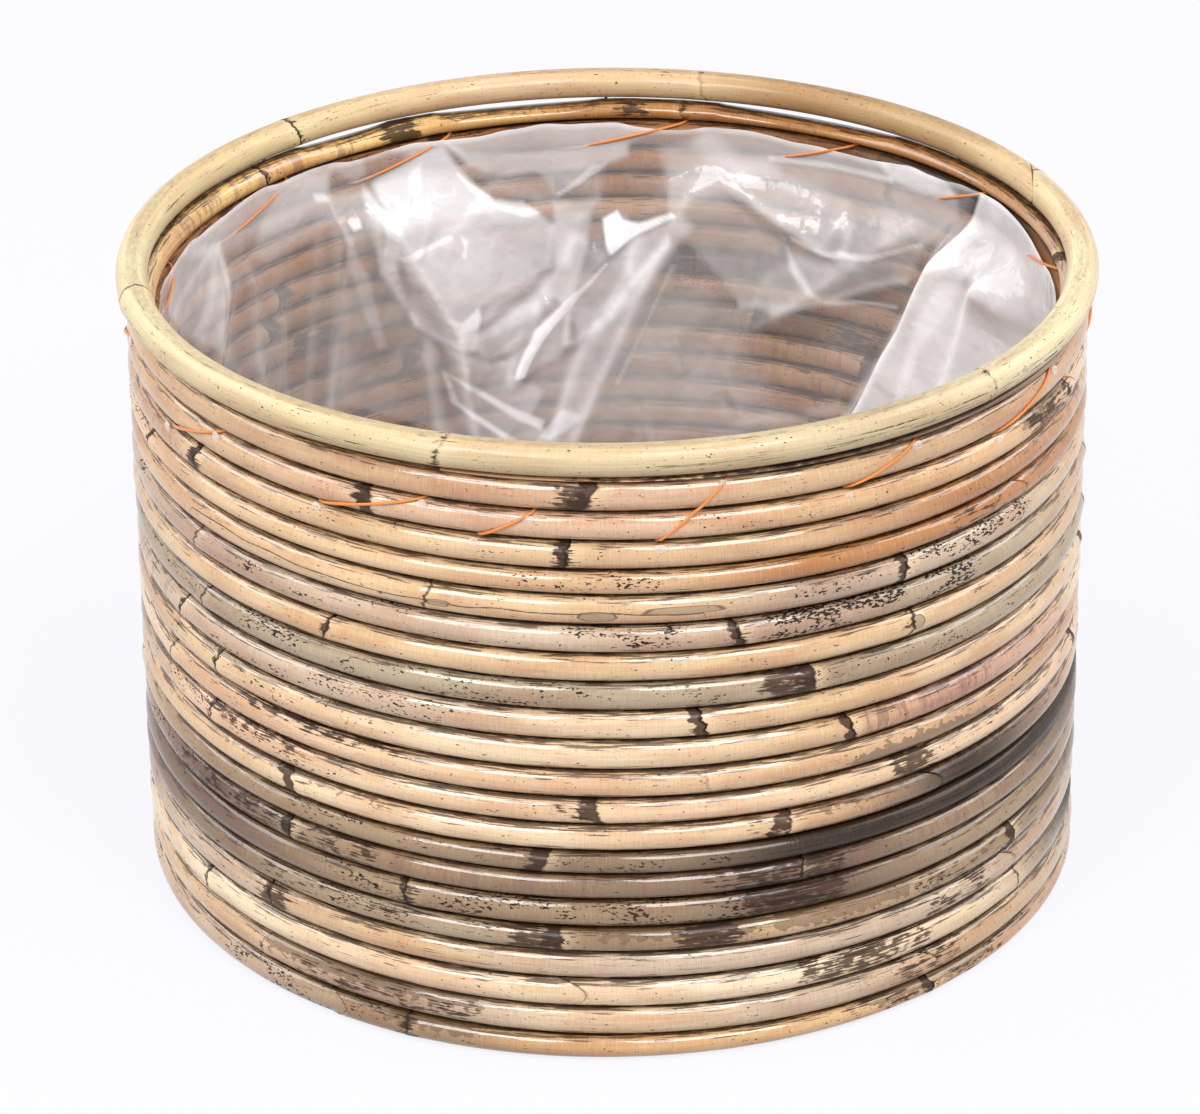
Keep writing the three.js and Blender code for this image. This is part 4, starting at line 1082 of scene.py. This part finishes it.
# The grid's columns round the wall, and its rows up the wall and from the middle of the floor to the wall
FILM_ROUND, FILM_UP, FILM_ACROSS = 570, 152, 12
FILM_BACK_SHARE = 0.76  # of its columns lie along the back half, which the open top shows
FACET_COLUMNS = 1001  # evenly round, on which its facets are drawn
FILM_REACH = WALL_RADIUS - CANE_WIDTH / 2 - 1.0
FILM_TOP = 249.0
FILM_FOOT = LINER_BOTTOM + 1.2
FILM_CORNER = 11.0
FOLD_FADE = 26  # past a fold's two ends
FOLD_CLEARANCE = 3.0  # of the film from the wall between its folds
# Three layers of facets: how far apart their corners lie round the wall and up it, and how far they stand off
FACETS = [(46, 60, 4.6), (20, 30, 2.4), (9, 13, 0.8)]
# How crumpled it is, by degrees counted from +X: most at the middle of the back
CRUMPLE_DEGREES = [-180, 0, 45, 62, 78, 126, 136, 180]
CRUMPLE_SHARES = [0.8, 0.45, 0.5, 0.8, 1.1, 1.1, 0.45, 0.6]
CRISP_REACH = 8.0  # how far off a crisp edge is still told apart
# The main folds, as in the part's source: from and to as degrees counted from +X and a height, how far the
# ridge stands off the wall at both, and how wide its flanks are to the left and the right, seen from inside
FOLDS = [
    ((128, 246), (120, 195), 4, 14, 9, 60), ((120, 195), (113, 155), 14, 20, 9, 70),
    ((113, 155), (108, 40), 20, 14, 11, 60), ((131, 246), (136, 60), 4, 9, 9, 34),
    ((91, 186), (105, 128), 8, 14, 15, 24), ((77, 226), (97, 90), 6, 16, 13, 40),
    ((87, 243), (57, 203), 3, 10, 12, 22), ((46, 214), (64, 168), 6, 10, 16, 20),
    ((28, 252), (51, 118), 14, 24, 9, 74),
    ((18, 250), (31, 140), 16, 22, 20, 40), ((154, 238), (166, 150), 3, 10, 14, 22),
    ((150, 240), (148, 90), 3, 12, 12, 26), ((-178, 244), (-168, 60), 4, 14, 12, 50),
    ((-150, 244), (-158, 60), 5, 18, 14, 44), ((-120, 240), (-106, 60), 4, 16, 14, 50),
    ((-92, 244), (-84, 70), 4, 14, 16, 40), ((-66, 240), (-60, 60), 5, 18, 18, 40),
    ((-34, 244), (-42, 60), 5, 16, 14, 46), ((-8, 244), (-14, 60), 6, 18, 16, 44),
]
# Where the film is milky, because it lies double or is stretched white, and where white glints are painted
# highlights of
# facets catching the lamps: the heart, the spear, the stripes, the dots and the places named for a glint, a
# light or a shine. The tent's crown is made clearer as painted shade against the lamps. Each gives how milky,
# or clearer where below
# 0, how soft its edge is in millimetres, or 0 for a crisp edge, and its corners as degrees and height
VEILS_AND_GLINTS = {
    "left veil": (0.24, 4, [(169.5, 254), (151, 253), (138.5, 251), (131, 247), (131.5, 233), (139, 228),
        (148.5, 232), (156.5, 232)]),
    "fan": (0.2, 3, [(154, 236), (153.5, 228), (155.5, 184), (166, 209), (174, 230), (171, 253)]),
    "fan's edge": (0.16, 2, [(154, 236), (153.5, 228), (156, 201), (157.5, 188), (158.5, 190), (156, 207),
        (154.5, 230)]),
    "fan, left line": (0.14, 2, [(154, 236), (172.5, 228), (170.5, 223), (154, 235)]),
    "fan, middle line": (0.12, 2, [(154, 236), (164.5, 207), (162.5, 202), (154, 235)]),
    "wedge": (0.12, 2.5, [(148, 224), (138.5, 248), (131, 244), (131.5, 225), (137, 219), (144.5, 218)]),
    "second layer": (0.16, 2, [(131.5, 233), (124, 231), (122.5, 199), (118, 161), (115, 148), (113.5, 125),
        (114, 106), (134, 140), (133, 165), (131.5, 197), (130.5, 213)]),
    "second layer's fold": (0.16, 2, [(131.5, 230), (130.5, 220), (128.5, 204), (126, 192), (122.5, 154),
        (124, 154), (128, 185), (130.5, 206)]),
    "flap's corner": (0.16, 2, [(130.5, 255), (125.5, 248), (125, 239), (126.5, 236), (131, 246)]),
    "flap": (0.48, 2, [(124, 234), (122.5, 202), (119.5, 180), (118, 161), (114.5, 153), (110.5, 150),
        (109.5, 172), (98, 182), (97.5, 201), (100, 209), (106.5, 216), (111, 233), (113, 244),
        (117.5, 241)]),
    "under the hem": (0.26, 3, [(130, 265), (117.5, 241), (113, 244), (109.5, 239), (101.5, 236), (95.5, 236),
        (87, 239), (81, 249), (91.5, 252), (104, 252), (113, 254), (120.5, 251)]),
    "lower flap": (0.34, 2.5, [(109.5, 172), (98, 182), (98, 166), (102, 154), (104.5, 133), (108.5, 143),
        (110.5, 152)]),
    "foot of the flap": (0.24, 2, [(114.5, 153), (108.5, 143), (104.5, 133), (99.5, 123), (101.5, 113),
        (98.5, 99), (114, 106), (113.5, 123), (114.5, 138)]),
    "swag": (0.36, 2, [(112.5, 245), (109.5, 239), (101.5, 236), (95.5, 236), (87, 239), (87, 233), (90, 229),
        (97, 227), (104.5, 227), (107, 229), (109.5, 233)]),
    "swag's point": (0.26, 2, [(99.5, 227), (91.5, 229), (97, 215)]),
    "swag's fold": (0.4, 0, [(97, 215), (92, 228), (90, 229), (91, 226), (96.5, 215)]),
    "band under the swag": (0.1, 2, [(111, 233), (107, 229), (99.5, 227), (97, 215), (91.5, 226), (90, 229),
        (91, 213), (102, 214)]),
    "bow": (0.36, 0, [(111, 230), (109.5, 225), (106, 217), (102, 214), (99.5, 208), (102, 208), (106.5, 215),
        (109.5, 223)]),
    "upright fold": (0.3, 2, [(97.5, 212), (91, 213), (92, 208), (93, 191), (94.5, 174), (96, 145),
        (96.5, 145), (96, 165), (98, 168), (97.5, 194)]),
    "upright fold's light": (0.25, 3, [(98.5, 205), (93.5, 205), (95.5, 183), (97.5, 182)]),
    "heart": (0.8, 0, [(90.5, 204), (88.5, 207), (88, 203), (85.5, 201), (80.5, 210), (80, 209), (87.5, 193),
        (89.5, 189), (90, 193)]),
    "spear": (0.66, 0, [(90, 185), (95.5, 168), (97.5, 162), (100.5, 153), (103.5, 136), (104, 132),
        (102.5, 132), (101, 143), (97.5, 157), (95, 166), (92, 177)]),
    "panel of the spear": (0.25, 2, [(95.5, 165), (95.5, 145), (97.5, 138), (102.5, 132), (101.5, 142),
        (97.5, 157)]),
    "long slant": (0.3, 3, [(79, 210), (77.5, 204), (84.5, 174), (91, 151), (94, 144), (95.5, 145),
        (89.5, 158), (84.5, 183), (81, 199)]),
    "long slant's light": (0.3, 2, [(81, 199), (80.5, 195), (87, 172), (89.5, 158), (90, 158), (87, 173)]),
    "panel of the slant": (0.24, 2, [(90, 184), (79.5, 210), (81, 199), (89.5, 158), (94, 145), (95.5, 165)]),
    "thin slant": (0.2, 0, [(80.5, 185), (80, 185), (83, 165), (88.5, 126), (89, 126), (84.5, 155)]),
    "upper stripe": (0.42, 0, [(114, 138), (112.5, 136), (103.5, 116), (99.5, 109), (100, 105), (104, 113),
        (110, 128)]),
    "lower stripe": (0.46, 0, [(114.5, 139), (114, 135), (113, 125), (103, 100), (103.5, 98), (113.5, 124)]),
    "short stripe": (0.26, 0, [(94.5, 113), (94, 112), (97, 103), (100, 97), (101.5, 98), (98.5, 107),
        (97, 112)]),
    "left ridge": (0.3, 2, [(125.5, 234), (123, 220), (122, 195), (119.5, 180), (117.5, 161), (119, 168),
        (122, 186), (124, 192), (125, 208), (126, 225)]),
    "left ridge's light": (0.34, 0, [(124.5, 225), (123.5, 221), (122, 197), (121.5, 190), (123, 194),
        (124, 207)]),
    "crumple": (0.36, 0, [(115, 168), (112.5, 165), (110, 171), (109.5, 166), (110, 161), (113, 161)]),
    "crumple, low": (0.2, 3, [(115, 163), (110, 160), (108, 139), (113.5, 150)]),
    "hook": (0.36, 0, [(122, 201), (119.5, 204), (114, 206), (113.5, 205), (118.5, 202), (121.5, 199)]),
    "hook's end": (0.3, 0, [(112, 205), (111, 202), (111.5, 195), (112, 196), (111.5, 199)]),
    "glint by the stitch": (0.3, 2, [(118, 234), (116.5, 237), (117, 227), (118.5, 226)]),
    "dot": (0.5, 0, [(129.5, 222), (127.5, 222), (127.5, 218), (129, 218)]),
    "second dot": (0.3, 0, [(134, 237), (132, 235), (131.5, 232), (133.5, 233)]),
    "right fold": (0.32, 2, [(52.5, 252), (51, 252), (47.5, 246), (41, 253), (38, 250), (35, 244), (36, 242),
        (42.5, 239), (47.5, 240)]),
    "long crease": (0.32, 0, [(67, 238), (57, 240), (47.5, 241), (47.5, 239), (57, 238), (67, 236)]),
    "kinked crease": (0.34, 0, [(62, 207), (55.5, 203), (49, 206), (40.5, 218), (40.5, 217), (49, 204),
        (55.5, 201), (62, 204)]),
    "low crease": (0.3, 2, [(71, 168), (56.5, 180), (49.5, 193), (43, 200), (43.5, 196), (48.5, 190),
        (55.5, 179), (63.5, 170), (71, 164)]),
    "thin low crease": (0.34, 0, [(56, 180), (45, 184), (45, 183), (56, 178)]),
    "fallen fold": (0.28, 2, [(63.5, 200), (62, 192), (56.5, 181), (56.5, 179), (63, 189)]),
    "right veil": (0.2, 3, [(82.5, 237), (71, 251), (67.5, 252), (52.5, 254), (35, 246), (34.5, 235),
        (40.5, 214), (43, 199), (49.5, 192), (56.5, 180), (71, 168), (80.5, 205)]),
    "shine under the hem": (0.2, 4, [(77, 249), (71, 236), (67, 238), (65.5, 231), (71, 225), (78, 238)]),
    "heap at the foot": (0.2, 3, [(71, 109), (66.5, 116), (61.5, 119), (54.5, 131), (53.5, 125), (63, 112)]),
    "tent": (0.68, 0, [(28, 266), (33.5, 222), (41, 176), (48, 143), (52, 115), (28, 90), (-8, 150),
        (-8, 266)]),
    "tent's light": (0.06, 7, [(24, 262), (4, 284), (4, 240), (9, 214), (18, 190), (24, 210), (28, 236)]),
    "tent's left light": (0.1, 4, [(27, 254), (22, 262), (25, 243), (30, 229)]),
    "tent's streak": (0.2, 2.5, [(36, 188), (31, 212), (25, 229), (28, 208), (35, 178), (39, 150),
        (40, 148)]),
    "tent's left flank": (-0.04, 6, [(39, 209), (31, 225), (36, 187), (41, 147), (50, 122), (51, 143)]),
    "tent's far side": (-0.06, 7, [(4, 270), (-8, 270), (-8, 200), (4, 205)]),
    "tent's crown": (-0.4, 11, [(31, 250), (12, 262), (0, 250), (0, 216), (16, 204), (30, 214)]),
    "haze by the slant": (0.26, 30, [(102, 150), (86, 190), (74, 170), (68, 100), (102, 92)]),
    "haze on the left": (0.1, 25, [(160, 200), (136, 190), (128, 110), (160, 110)]),
}


def film_hem(degrees):
    """The cut edge of the film, higher and lower round the wall, and drawn up where the tent starts"""
    raised = 6.0 * np.exp(-((degrees - 27) / 8) ** 2)
    around = degrees + 180
    return FILM_TOP - 1.5 + 1.6 * wander(around, 9, 41) + 0.8 * wander(around, 3.2, 42) + raised


def fold_height(degrees, z):
    """How far the main folds stand off the wall"""
    arc = np.radians(degrees) * FILM_REACH
    total = np.zeros_like(z)
    for (start_degrees, start_z), (end_degrees, end_z), start_off, end_off, left, right in FOLDS:
        for whole in (-360, 0, 360):
            start = math.radians(start_degrees + whole) * FILM_REACH
            run = math.radians(end_degrees - start_degrees) * FILM_REACH
            fall = end_z - start_z
            length = math.hypot(run, fall)
            along = ((arc - start) * run + (z - start_z) * fall) / length
            beside = ((z - start_z) * run - (arc - start) * fall) / length
            past = np.maximum(0, np.maximum(-along, along - length))
            off = start_off + (end_off - start_off) * np.clip(along / length, 0, 1)
            flank = np.where(beside > 0, beside / left, -beside / right)
            total = np.maximum(total, off * np.clip(1 - flank - past / FOLD_FADE, 0, 1))
    return total


def facets(wide, high, spacing, tall, seed):
    """A sheet of flat facets between random corners, as crumpled film has: heights from -1 to 1 on a grid of
    so many columns and rows, whose corners lie about spacing apart round the wall and tall up it"""
    draw = np.random.default_rng(seed)
    around, up = TAU * FILM_REACH, FILM_TOP
    count = int(around * up / spacing / tall)
    corners = np.column_stack([draw.uniform(0, around, count), draw.uniform(-tall, up + tall, count)])
    heights = draw.uniform(-1, 1, count)
    near, far = corners[:, 0] < 4 * spacing, corners[:, 0] > around - 4 * spacing
    corners = np.concatenate([corners, corners[near] + (around, 0), corners[far] - (around, 0)])
    heights = np.concatenate([heights, heights[near], heights[far]])
    flat = [Vector((x / spacing, y / tall)) for x, y in corners]
    flat, _, triangles, origins, _, _ = delaunay_2d_cdt(flat, [], [], 0, 1e-6)
    heights = [heights[origin[0]] for origin in origins]
    sheet = np.zeros((high, wide))
    step_x, step_y = around / (wide - 1) / spacing, up / (high - 1) / tall
    for triangle in triangles:
        (ax, ay), (bx, by), (cx, cy) = (flat[corner] for corner in triangle)
        first_x, last_x = math.ceil(min(ax, bx, cx) / step_x), math.floor(max(ax, bx, cx) / step_x)
        first_y, last_y = math.ceil(min(ay, by, cy) / step_y), math.floor(max(ay, by, cy) / step_y)
        first_x, last_x = max(first_x, 0), min(last_x, wide - 1)
        first_y, last_y = max(first_y, 0), min(last_y, high - 1)
        if first_x > last_x or first_y > last_y:
            continue
        columns, rows = np.arange(first_x, last_x + 1), np.arange(first_y, last_y + 1)
        x, y = np.meshgrid(columns * step_x, rows * step_y)
        whole = (bx - ax) * (cy - ay) - (cx - ax) * (by - ay)
        b_share = ((x - ax) * (cy - ay) - (cx - ax) * (y - ay)) / whole
        c_share = ((bx - ax) * (y - ay) - (x - ax) * (by - ay)) / whole
        inside = (b_share >= -1e-6) & (c_share >= -1e-6) & (b_share + c_share <= 1 + 1e-6)
        a, b, c = (heights[corner] for corner in triangle)
        patch = a + (b - a) * b_share + (c - a) * c_share
        part = sheet[first_y:last_y + 1, first_x:last_x + 1]
        part[inside] = patch[inside]
    return sheet


def veils_and_glints(degrees, z):
    """How milky the film's doubled and stretched places, and the glints painted on as highlights, make each
    spot. With it come, for the nearest place with a crisp edge, the millimetres a spot lies inside that edge
    and how milky the place is"""
    arc = np.radians(degrees) * FILM_REACH
    total, inside_crisp, crisp = np.zeros_like(z), np.full_like(z, -CRISP_REACH), np.zeros_like(z)
    for amount, softness, corners in VEILS_AND_GLINTS.values():
        shape = [(math.radians(corner) * FILM_REACH, height) for corner, height in corners]
        nearest, inside = np.full_like(z, 1e9), np.zeros(z.shape, bool)
        for (ax, ay), (bx, by) in zip(shape, shape[1:] + shape[:1]):
            run, rise = bx - ax, by - ay
            share = np.clip(((arc - ax) * run + (z - ay) * rise) / (run ** 2 + rise ** 2), 0, 1)
            nearest = np.minimum(nearest, np.hypot(arc - ax - share * run, z - ay - share * rise))
            crosses = (ay > z) != (by > z)
            inside ^= crosses & (arc < run * (z - ay) / (rise or 1e-9) + ax)
        depth = np.where(inside, nearest, -nearest)
        if softness:
            total += amount * smooth(depth / softness / 2 + 0.5)
        else:
            crisp = np.where(depth > inside_crisp, amount, crisp)
            inside_crisp = np.maximum(inside_crisp, depth)
    return total, np.clip(inside_crisp, -CRISP_REACH, CRISP_REACH), crisp


def softened(field):
    """Evens out a field on the film's grid between neighbours, which rounds each crease"""
    for _ in range(2):
        inner = field.copy()
        inner[:, 1:-1] = 0.25 * field[:, :-2] + 0.5 * field[:, 1:-1] + 0.25 * field[:, 2:]
        field = inner.copy()
        field[1:-1] = 0.25 * inner[:-2] + 0.5 * inner[1:-1] + 0.25 * inner[2:]
    return field


def creased(off, step_x, step_z):
    """How sharply the film bends at each spot, from 0 to 1"""
    bend = np.zeros_like(off)
    bend[:, 1:-1] += np.abs(off[:, :-2] - 2 * off[:, 1:-1] + off[:, 2:]) / step_x[1:-1] ** 2
    bend[1:-1] += np.abs(off[:-2] - 2 * off[1:-1] + off[2:]) / step_z ** 2
    return np.clip((bend - 0.05) * 3, 0, 1)


def make_film():
    """A sheet gathered into a bag: a grid rolled round the wall and drawn in at its foot over the slats"""
    rows = FILM_ACROSS + FILM_UP
    bpy.ops.mesh.primitive_grid_add(x_subdivisions=FILM_ROUND, y_subdivisions=rows, size=1)
    film = bpy.context.object
    film.name = "film_liner"
    front = round(FILM_ROUND * (1 - FILM_BACK_SHARE))
    column = np.interp(np.arange(FILM_ROUND + 1), [0, front, FILM_ROUND], [-180, 0, 180])
    degrees, row = np.meshgrid(column, np.arange(rows + 1))
    up_wall = row >= FILM_ACROSS
    rise = np.clip((row - FILM_ACROSS) / FILM_UP, 0, 1)
    hem = film_hem(degrees)
    z = FILM_FOOT + (hem - FILM_FOOT) * rise

    # Facets are drawn on even columns and read where the film's own columns lie
    share = (column + 180) / 360 * (FACET_COLUMNS - 1)
    before = np.clip(share.astype(int), 0, FACET_COLUMNS - 2)
    share = share - before
    crumpled = np.zeros_like(z)
    for seed, (spacing, tall, height) in enumerate(FACETS, 1):
        sheet = height * facets(FACET_COLUMNS, rows + 1, spacing, tall, seed)
        crumpled += sheet[:, before] * (1 - share) + sheet[:, before + 1] * share
    crumpled *= eased(degrees, CRUMPLE_DEGREES, CRUMPLE_SHARES)
    # Both ends of the grid are the same line
    crumpled[:, -1] = crumpled[:, 0]

    # It is sewn flat along its hem and slack from 12 mm below it
    slack = smooth((hem - z - 12) / 22)
    off = np.maximum(0.2, 0.4 + (fold_height(degrees, z) + crumpled + FOLD_CLEARANCE) * slack)
    off = softened(off)
    off[:, -1] = off[:, 0]
    low = np.clip((z - FILM_FOOT) / FILM_CORNER, 0, 1)
    inward = FILM_CORNER * (1 - np.sqrt(1 - (1 - low) ** 2))
    out = np.clip(row / FILM_ACROSS, 0, 1)
    reach = np.where(up_wall, FILM_REACH - off - inward, (FILM_REACH - FILM_CORNER - off) * out)
    step_x, step_z = np.gradient(np.radians(column) * FILM_REACH), (FILM_TOP - FILM_FOOT) / FILM_UP
    # Whiter along its sharpest bends: partly the film's own whitening at a crease, partly painted highlights
    white_lines = 0.3 * softened(creased(off, step_x, step_z))
    cut_edge = 0.35 * smooth(1 - (hem - z) / 3) + 0.06 * smooth(1 - (hem - z) / 16)
    z = z + np.where(up_wall, 0, np.abs(crumpled) * smooth((1 - out) * 6) * smooth(out * 5))
    angle = np.radians(degrees)
    set_places(film, np.stack([reach * np.cos(angle), reach * np.sin(angle), z], axis=-1))
    layers_and_glints, inside_crisp, crisp = veils_and_glints(degrees, z)
    for name, values, on_floor in (
            ("layers_and_glints", layers_and_glints + cut_edge, 0.1), ("inside_crisp", inside_crisp, -CRISP_REACH),
            ("crisp", crisp, 0), ("crease", white_lines, 0)):
        add_field(film, name, "FLOAT", np.where(up_wall, values, on_floor))

    bpy.ops.object.mode_set(mode="EDIT")
    bpy.ops.mesh.select_all(action="SELECT")
    bpy.ops.mesh.remove_doubles(threshold=0.00002)
    bpy.ops.mesh.normals_make_consistent(inside=True)
    bpy.ops.object.mode_set(mode="OBJECT")
    bpy.ops.object.shade_smooth()
    return film


film = make_film()
finish_piece(film, blown_film(), "liner", slot="clear_film")


# CAD nodes that stay as they are get their materials

finishes = {"base_": split_cane(), "brad": drawn_steel()}
for name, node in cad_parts.items():
    for word, finish in finishes.items():
        if word in name:
            node.data.materials.clear()
            node.data.materials.append(finish)


# Floor, light and camera

def seen_directly(tree):
    """1 for what is seen, by the camera, in a mirror or through a clear thing, and 0 for what only lights"""
    seen = put(tree, "LightPath", out="Is Camera Ray")
    for other in ("Is Glossy Ray", "Is Transmission Ray"):
        other = put(tree, "LightPath", out=other)
        seen = put(tree, "Math", {0: seen, 1: other}, operation="MAXIMUM")
    return seen


def pale_floor():
    """Matt white board, seen nearly white, with the planter's shadow on it"""
    material, tree = new_material("matt_white_board")
    place = put(tree, "TexCoord", out="Object")
    tooth = put(tree, "TexNoise", {"Vector": place, "Scale": 300.0, "Detail": 2.0})
    board = put(tree, "Mix", {0: tooth, 6: linear("b9b9bf"), 7: linear("bdbdc2")}, **COLOURS)
    matt = put(tree, "BsdfDiffuse", {"Color": board, "Roughness": 0.5})
    shaded = put(tree, "Mix", {0: tooth, 6: linear("525256"), 7: linear("545458")}, **COLOURS)
    shaded = put(tree, "BsdfDiffuse", {"Color": shaded, "Roughness": 0.5})
    glow = put(tree, "Emission", {"Color": linear("fbfbff"), "Strength": 0.87})
    both = put(tree, "AddShader", {0: shaded, 1: glow})
    surface = put(tree, "MixShader", {0: seen_directly(tree), 1: matt, 2: both})
    put(tree, "OutputMaterial", {"Surface": surface})
    return material


def make_floor():
    """A board far wider than the view, which isn't part of the planter"""
    bpy.ops.mesh.primitive_plane_add(size=14)
    floor = bpy.context.object
    floor.name = "studio_floor"
    floor.data.materials.append(pale_floor())
    deselect_all()


def white_world():
    """An even pale light all round, seen as white"""
    world = bpy.data.worlds.new("white_studio")
    bpy.context.scene.world = world
    world.use_nodes = True
    tree = world.node_tree
    tree.nodes.clear()
    fill = put(tree, "Background", {"Color": linear("fdfbf6"), "Strength": 0.68})
    white = put(tree, "Background", {"Color": (1, 1, 1, 1), "Strength": 1.0})
    mixed = put(tree, "MixShader", {0: seen_directly(tree), 1: fill, 2: white})
    put(tree, "OutputWorld", {"Surface": mixed})


# In metres: the middle of the planter, the camera, where it points, and its lens as the focal length and the
# width of the photograph in pixels
PLANTER_MIDDLE = Vector((0, 0, 0.13))
CAMERA_PLACE, CAMERA_AIM = Vector((0, -1.9596, 1.1054)), Vector((-0.00396, 0.00046, 0.12593))
CAMERA_ROLL = -0.5
FOCAL_PIXELS, PHOTO_WIDTH = 5219, 1200
SENSOR_WIDTH = 36


def soft_light(name, azimuth, elevation, distance, width, height, power):
    """A rectangular softbox that faces the planter. Azimuth counts from the front, to the right"""
    around, up = math.radians(azimuth), math.radians(elevation)
    away = Vector((math.sin(around) * math.cos(up), -math.cos(around) * math.cos(up), math.sin(up)))
    place = away * distance + PLANTER_MIDDLE
    bpy.ops.object.light_add(type="AREA", location=place)
    light = bpy.context.object
    light.name = name
    light.data.shape = "RECTANGLE"
    light.data.size, light.data.size_y = width, height
    light.data.energy = power
    light.rotation_euler = (place - PLANTER_MIDDLE).to_track_quat("Z", "Y").to_euler()
    deselect_all()


def place_camera():
    """The photograph's view: 26.6 degrees down on the front, from 2.2 metres away with a long lens"""
    roll = math.radians(CAMERA_ROLL)
    backward = (CAMERA_PLACE - CAMERA_AIM).normalized()
    right = Vector((0, 0, 1)).cross(backward).normalized()
    up = backward.cross(right)
    level, tilt = math.cos(roll), math.sin(roll)
    across, above = right * level + up * tilt, up * level - right * tilt
    bpy.ops.object.camera_add()
    camera = bpy.context.object
    camera.name = "camera"
    turned = Matrix((across, above, backward)).transposed().to_4x4()
    camera.matrix_world = Matrix.Translation(CAMERA_PLACE) @ turned
    camera.data.sensor_fit = "HORIZONTAL"
    camera.data.sensor_width = SENSOR_WIDTH
    camera.data.lens = FOCAL_PIXELS / PHOTO_WIDTH * SENSOR_WIDTH
    camera.data.clip_end = 50
    bpy.context.scene.camera = camera
    deselect_all()


make_floor()
white_world()
for name, azimuth, elevation in (("softbox_left", -31, 42), ("softbox_right", 29, 49)):
    soft_light(name, azimuth, elevation, distance=1.9, width=1.0, height=0.64, power=18.8)
for name, azimuth in (("far_left", -105), ("far_right", 105)):
    soft_light(name, azimuth, 42, distance=2.2, width=1.5, height=1.1, power=19.5)
place_camera()
bpy.context.scene.view_settings.view_transform = "Standard"
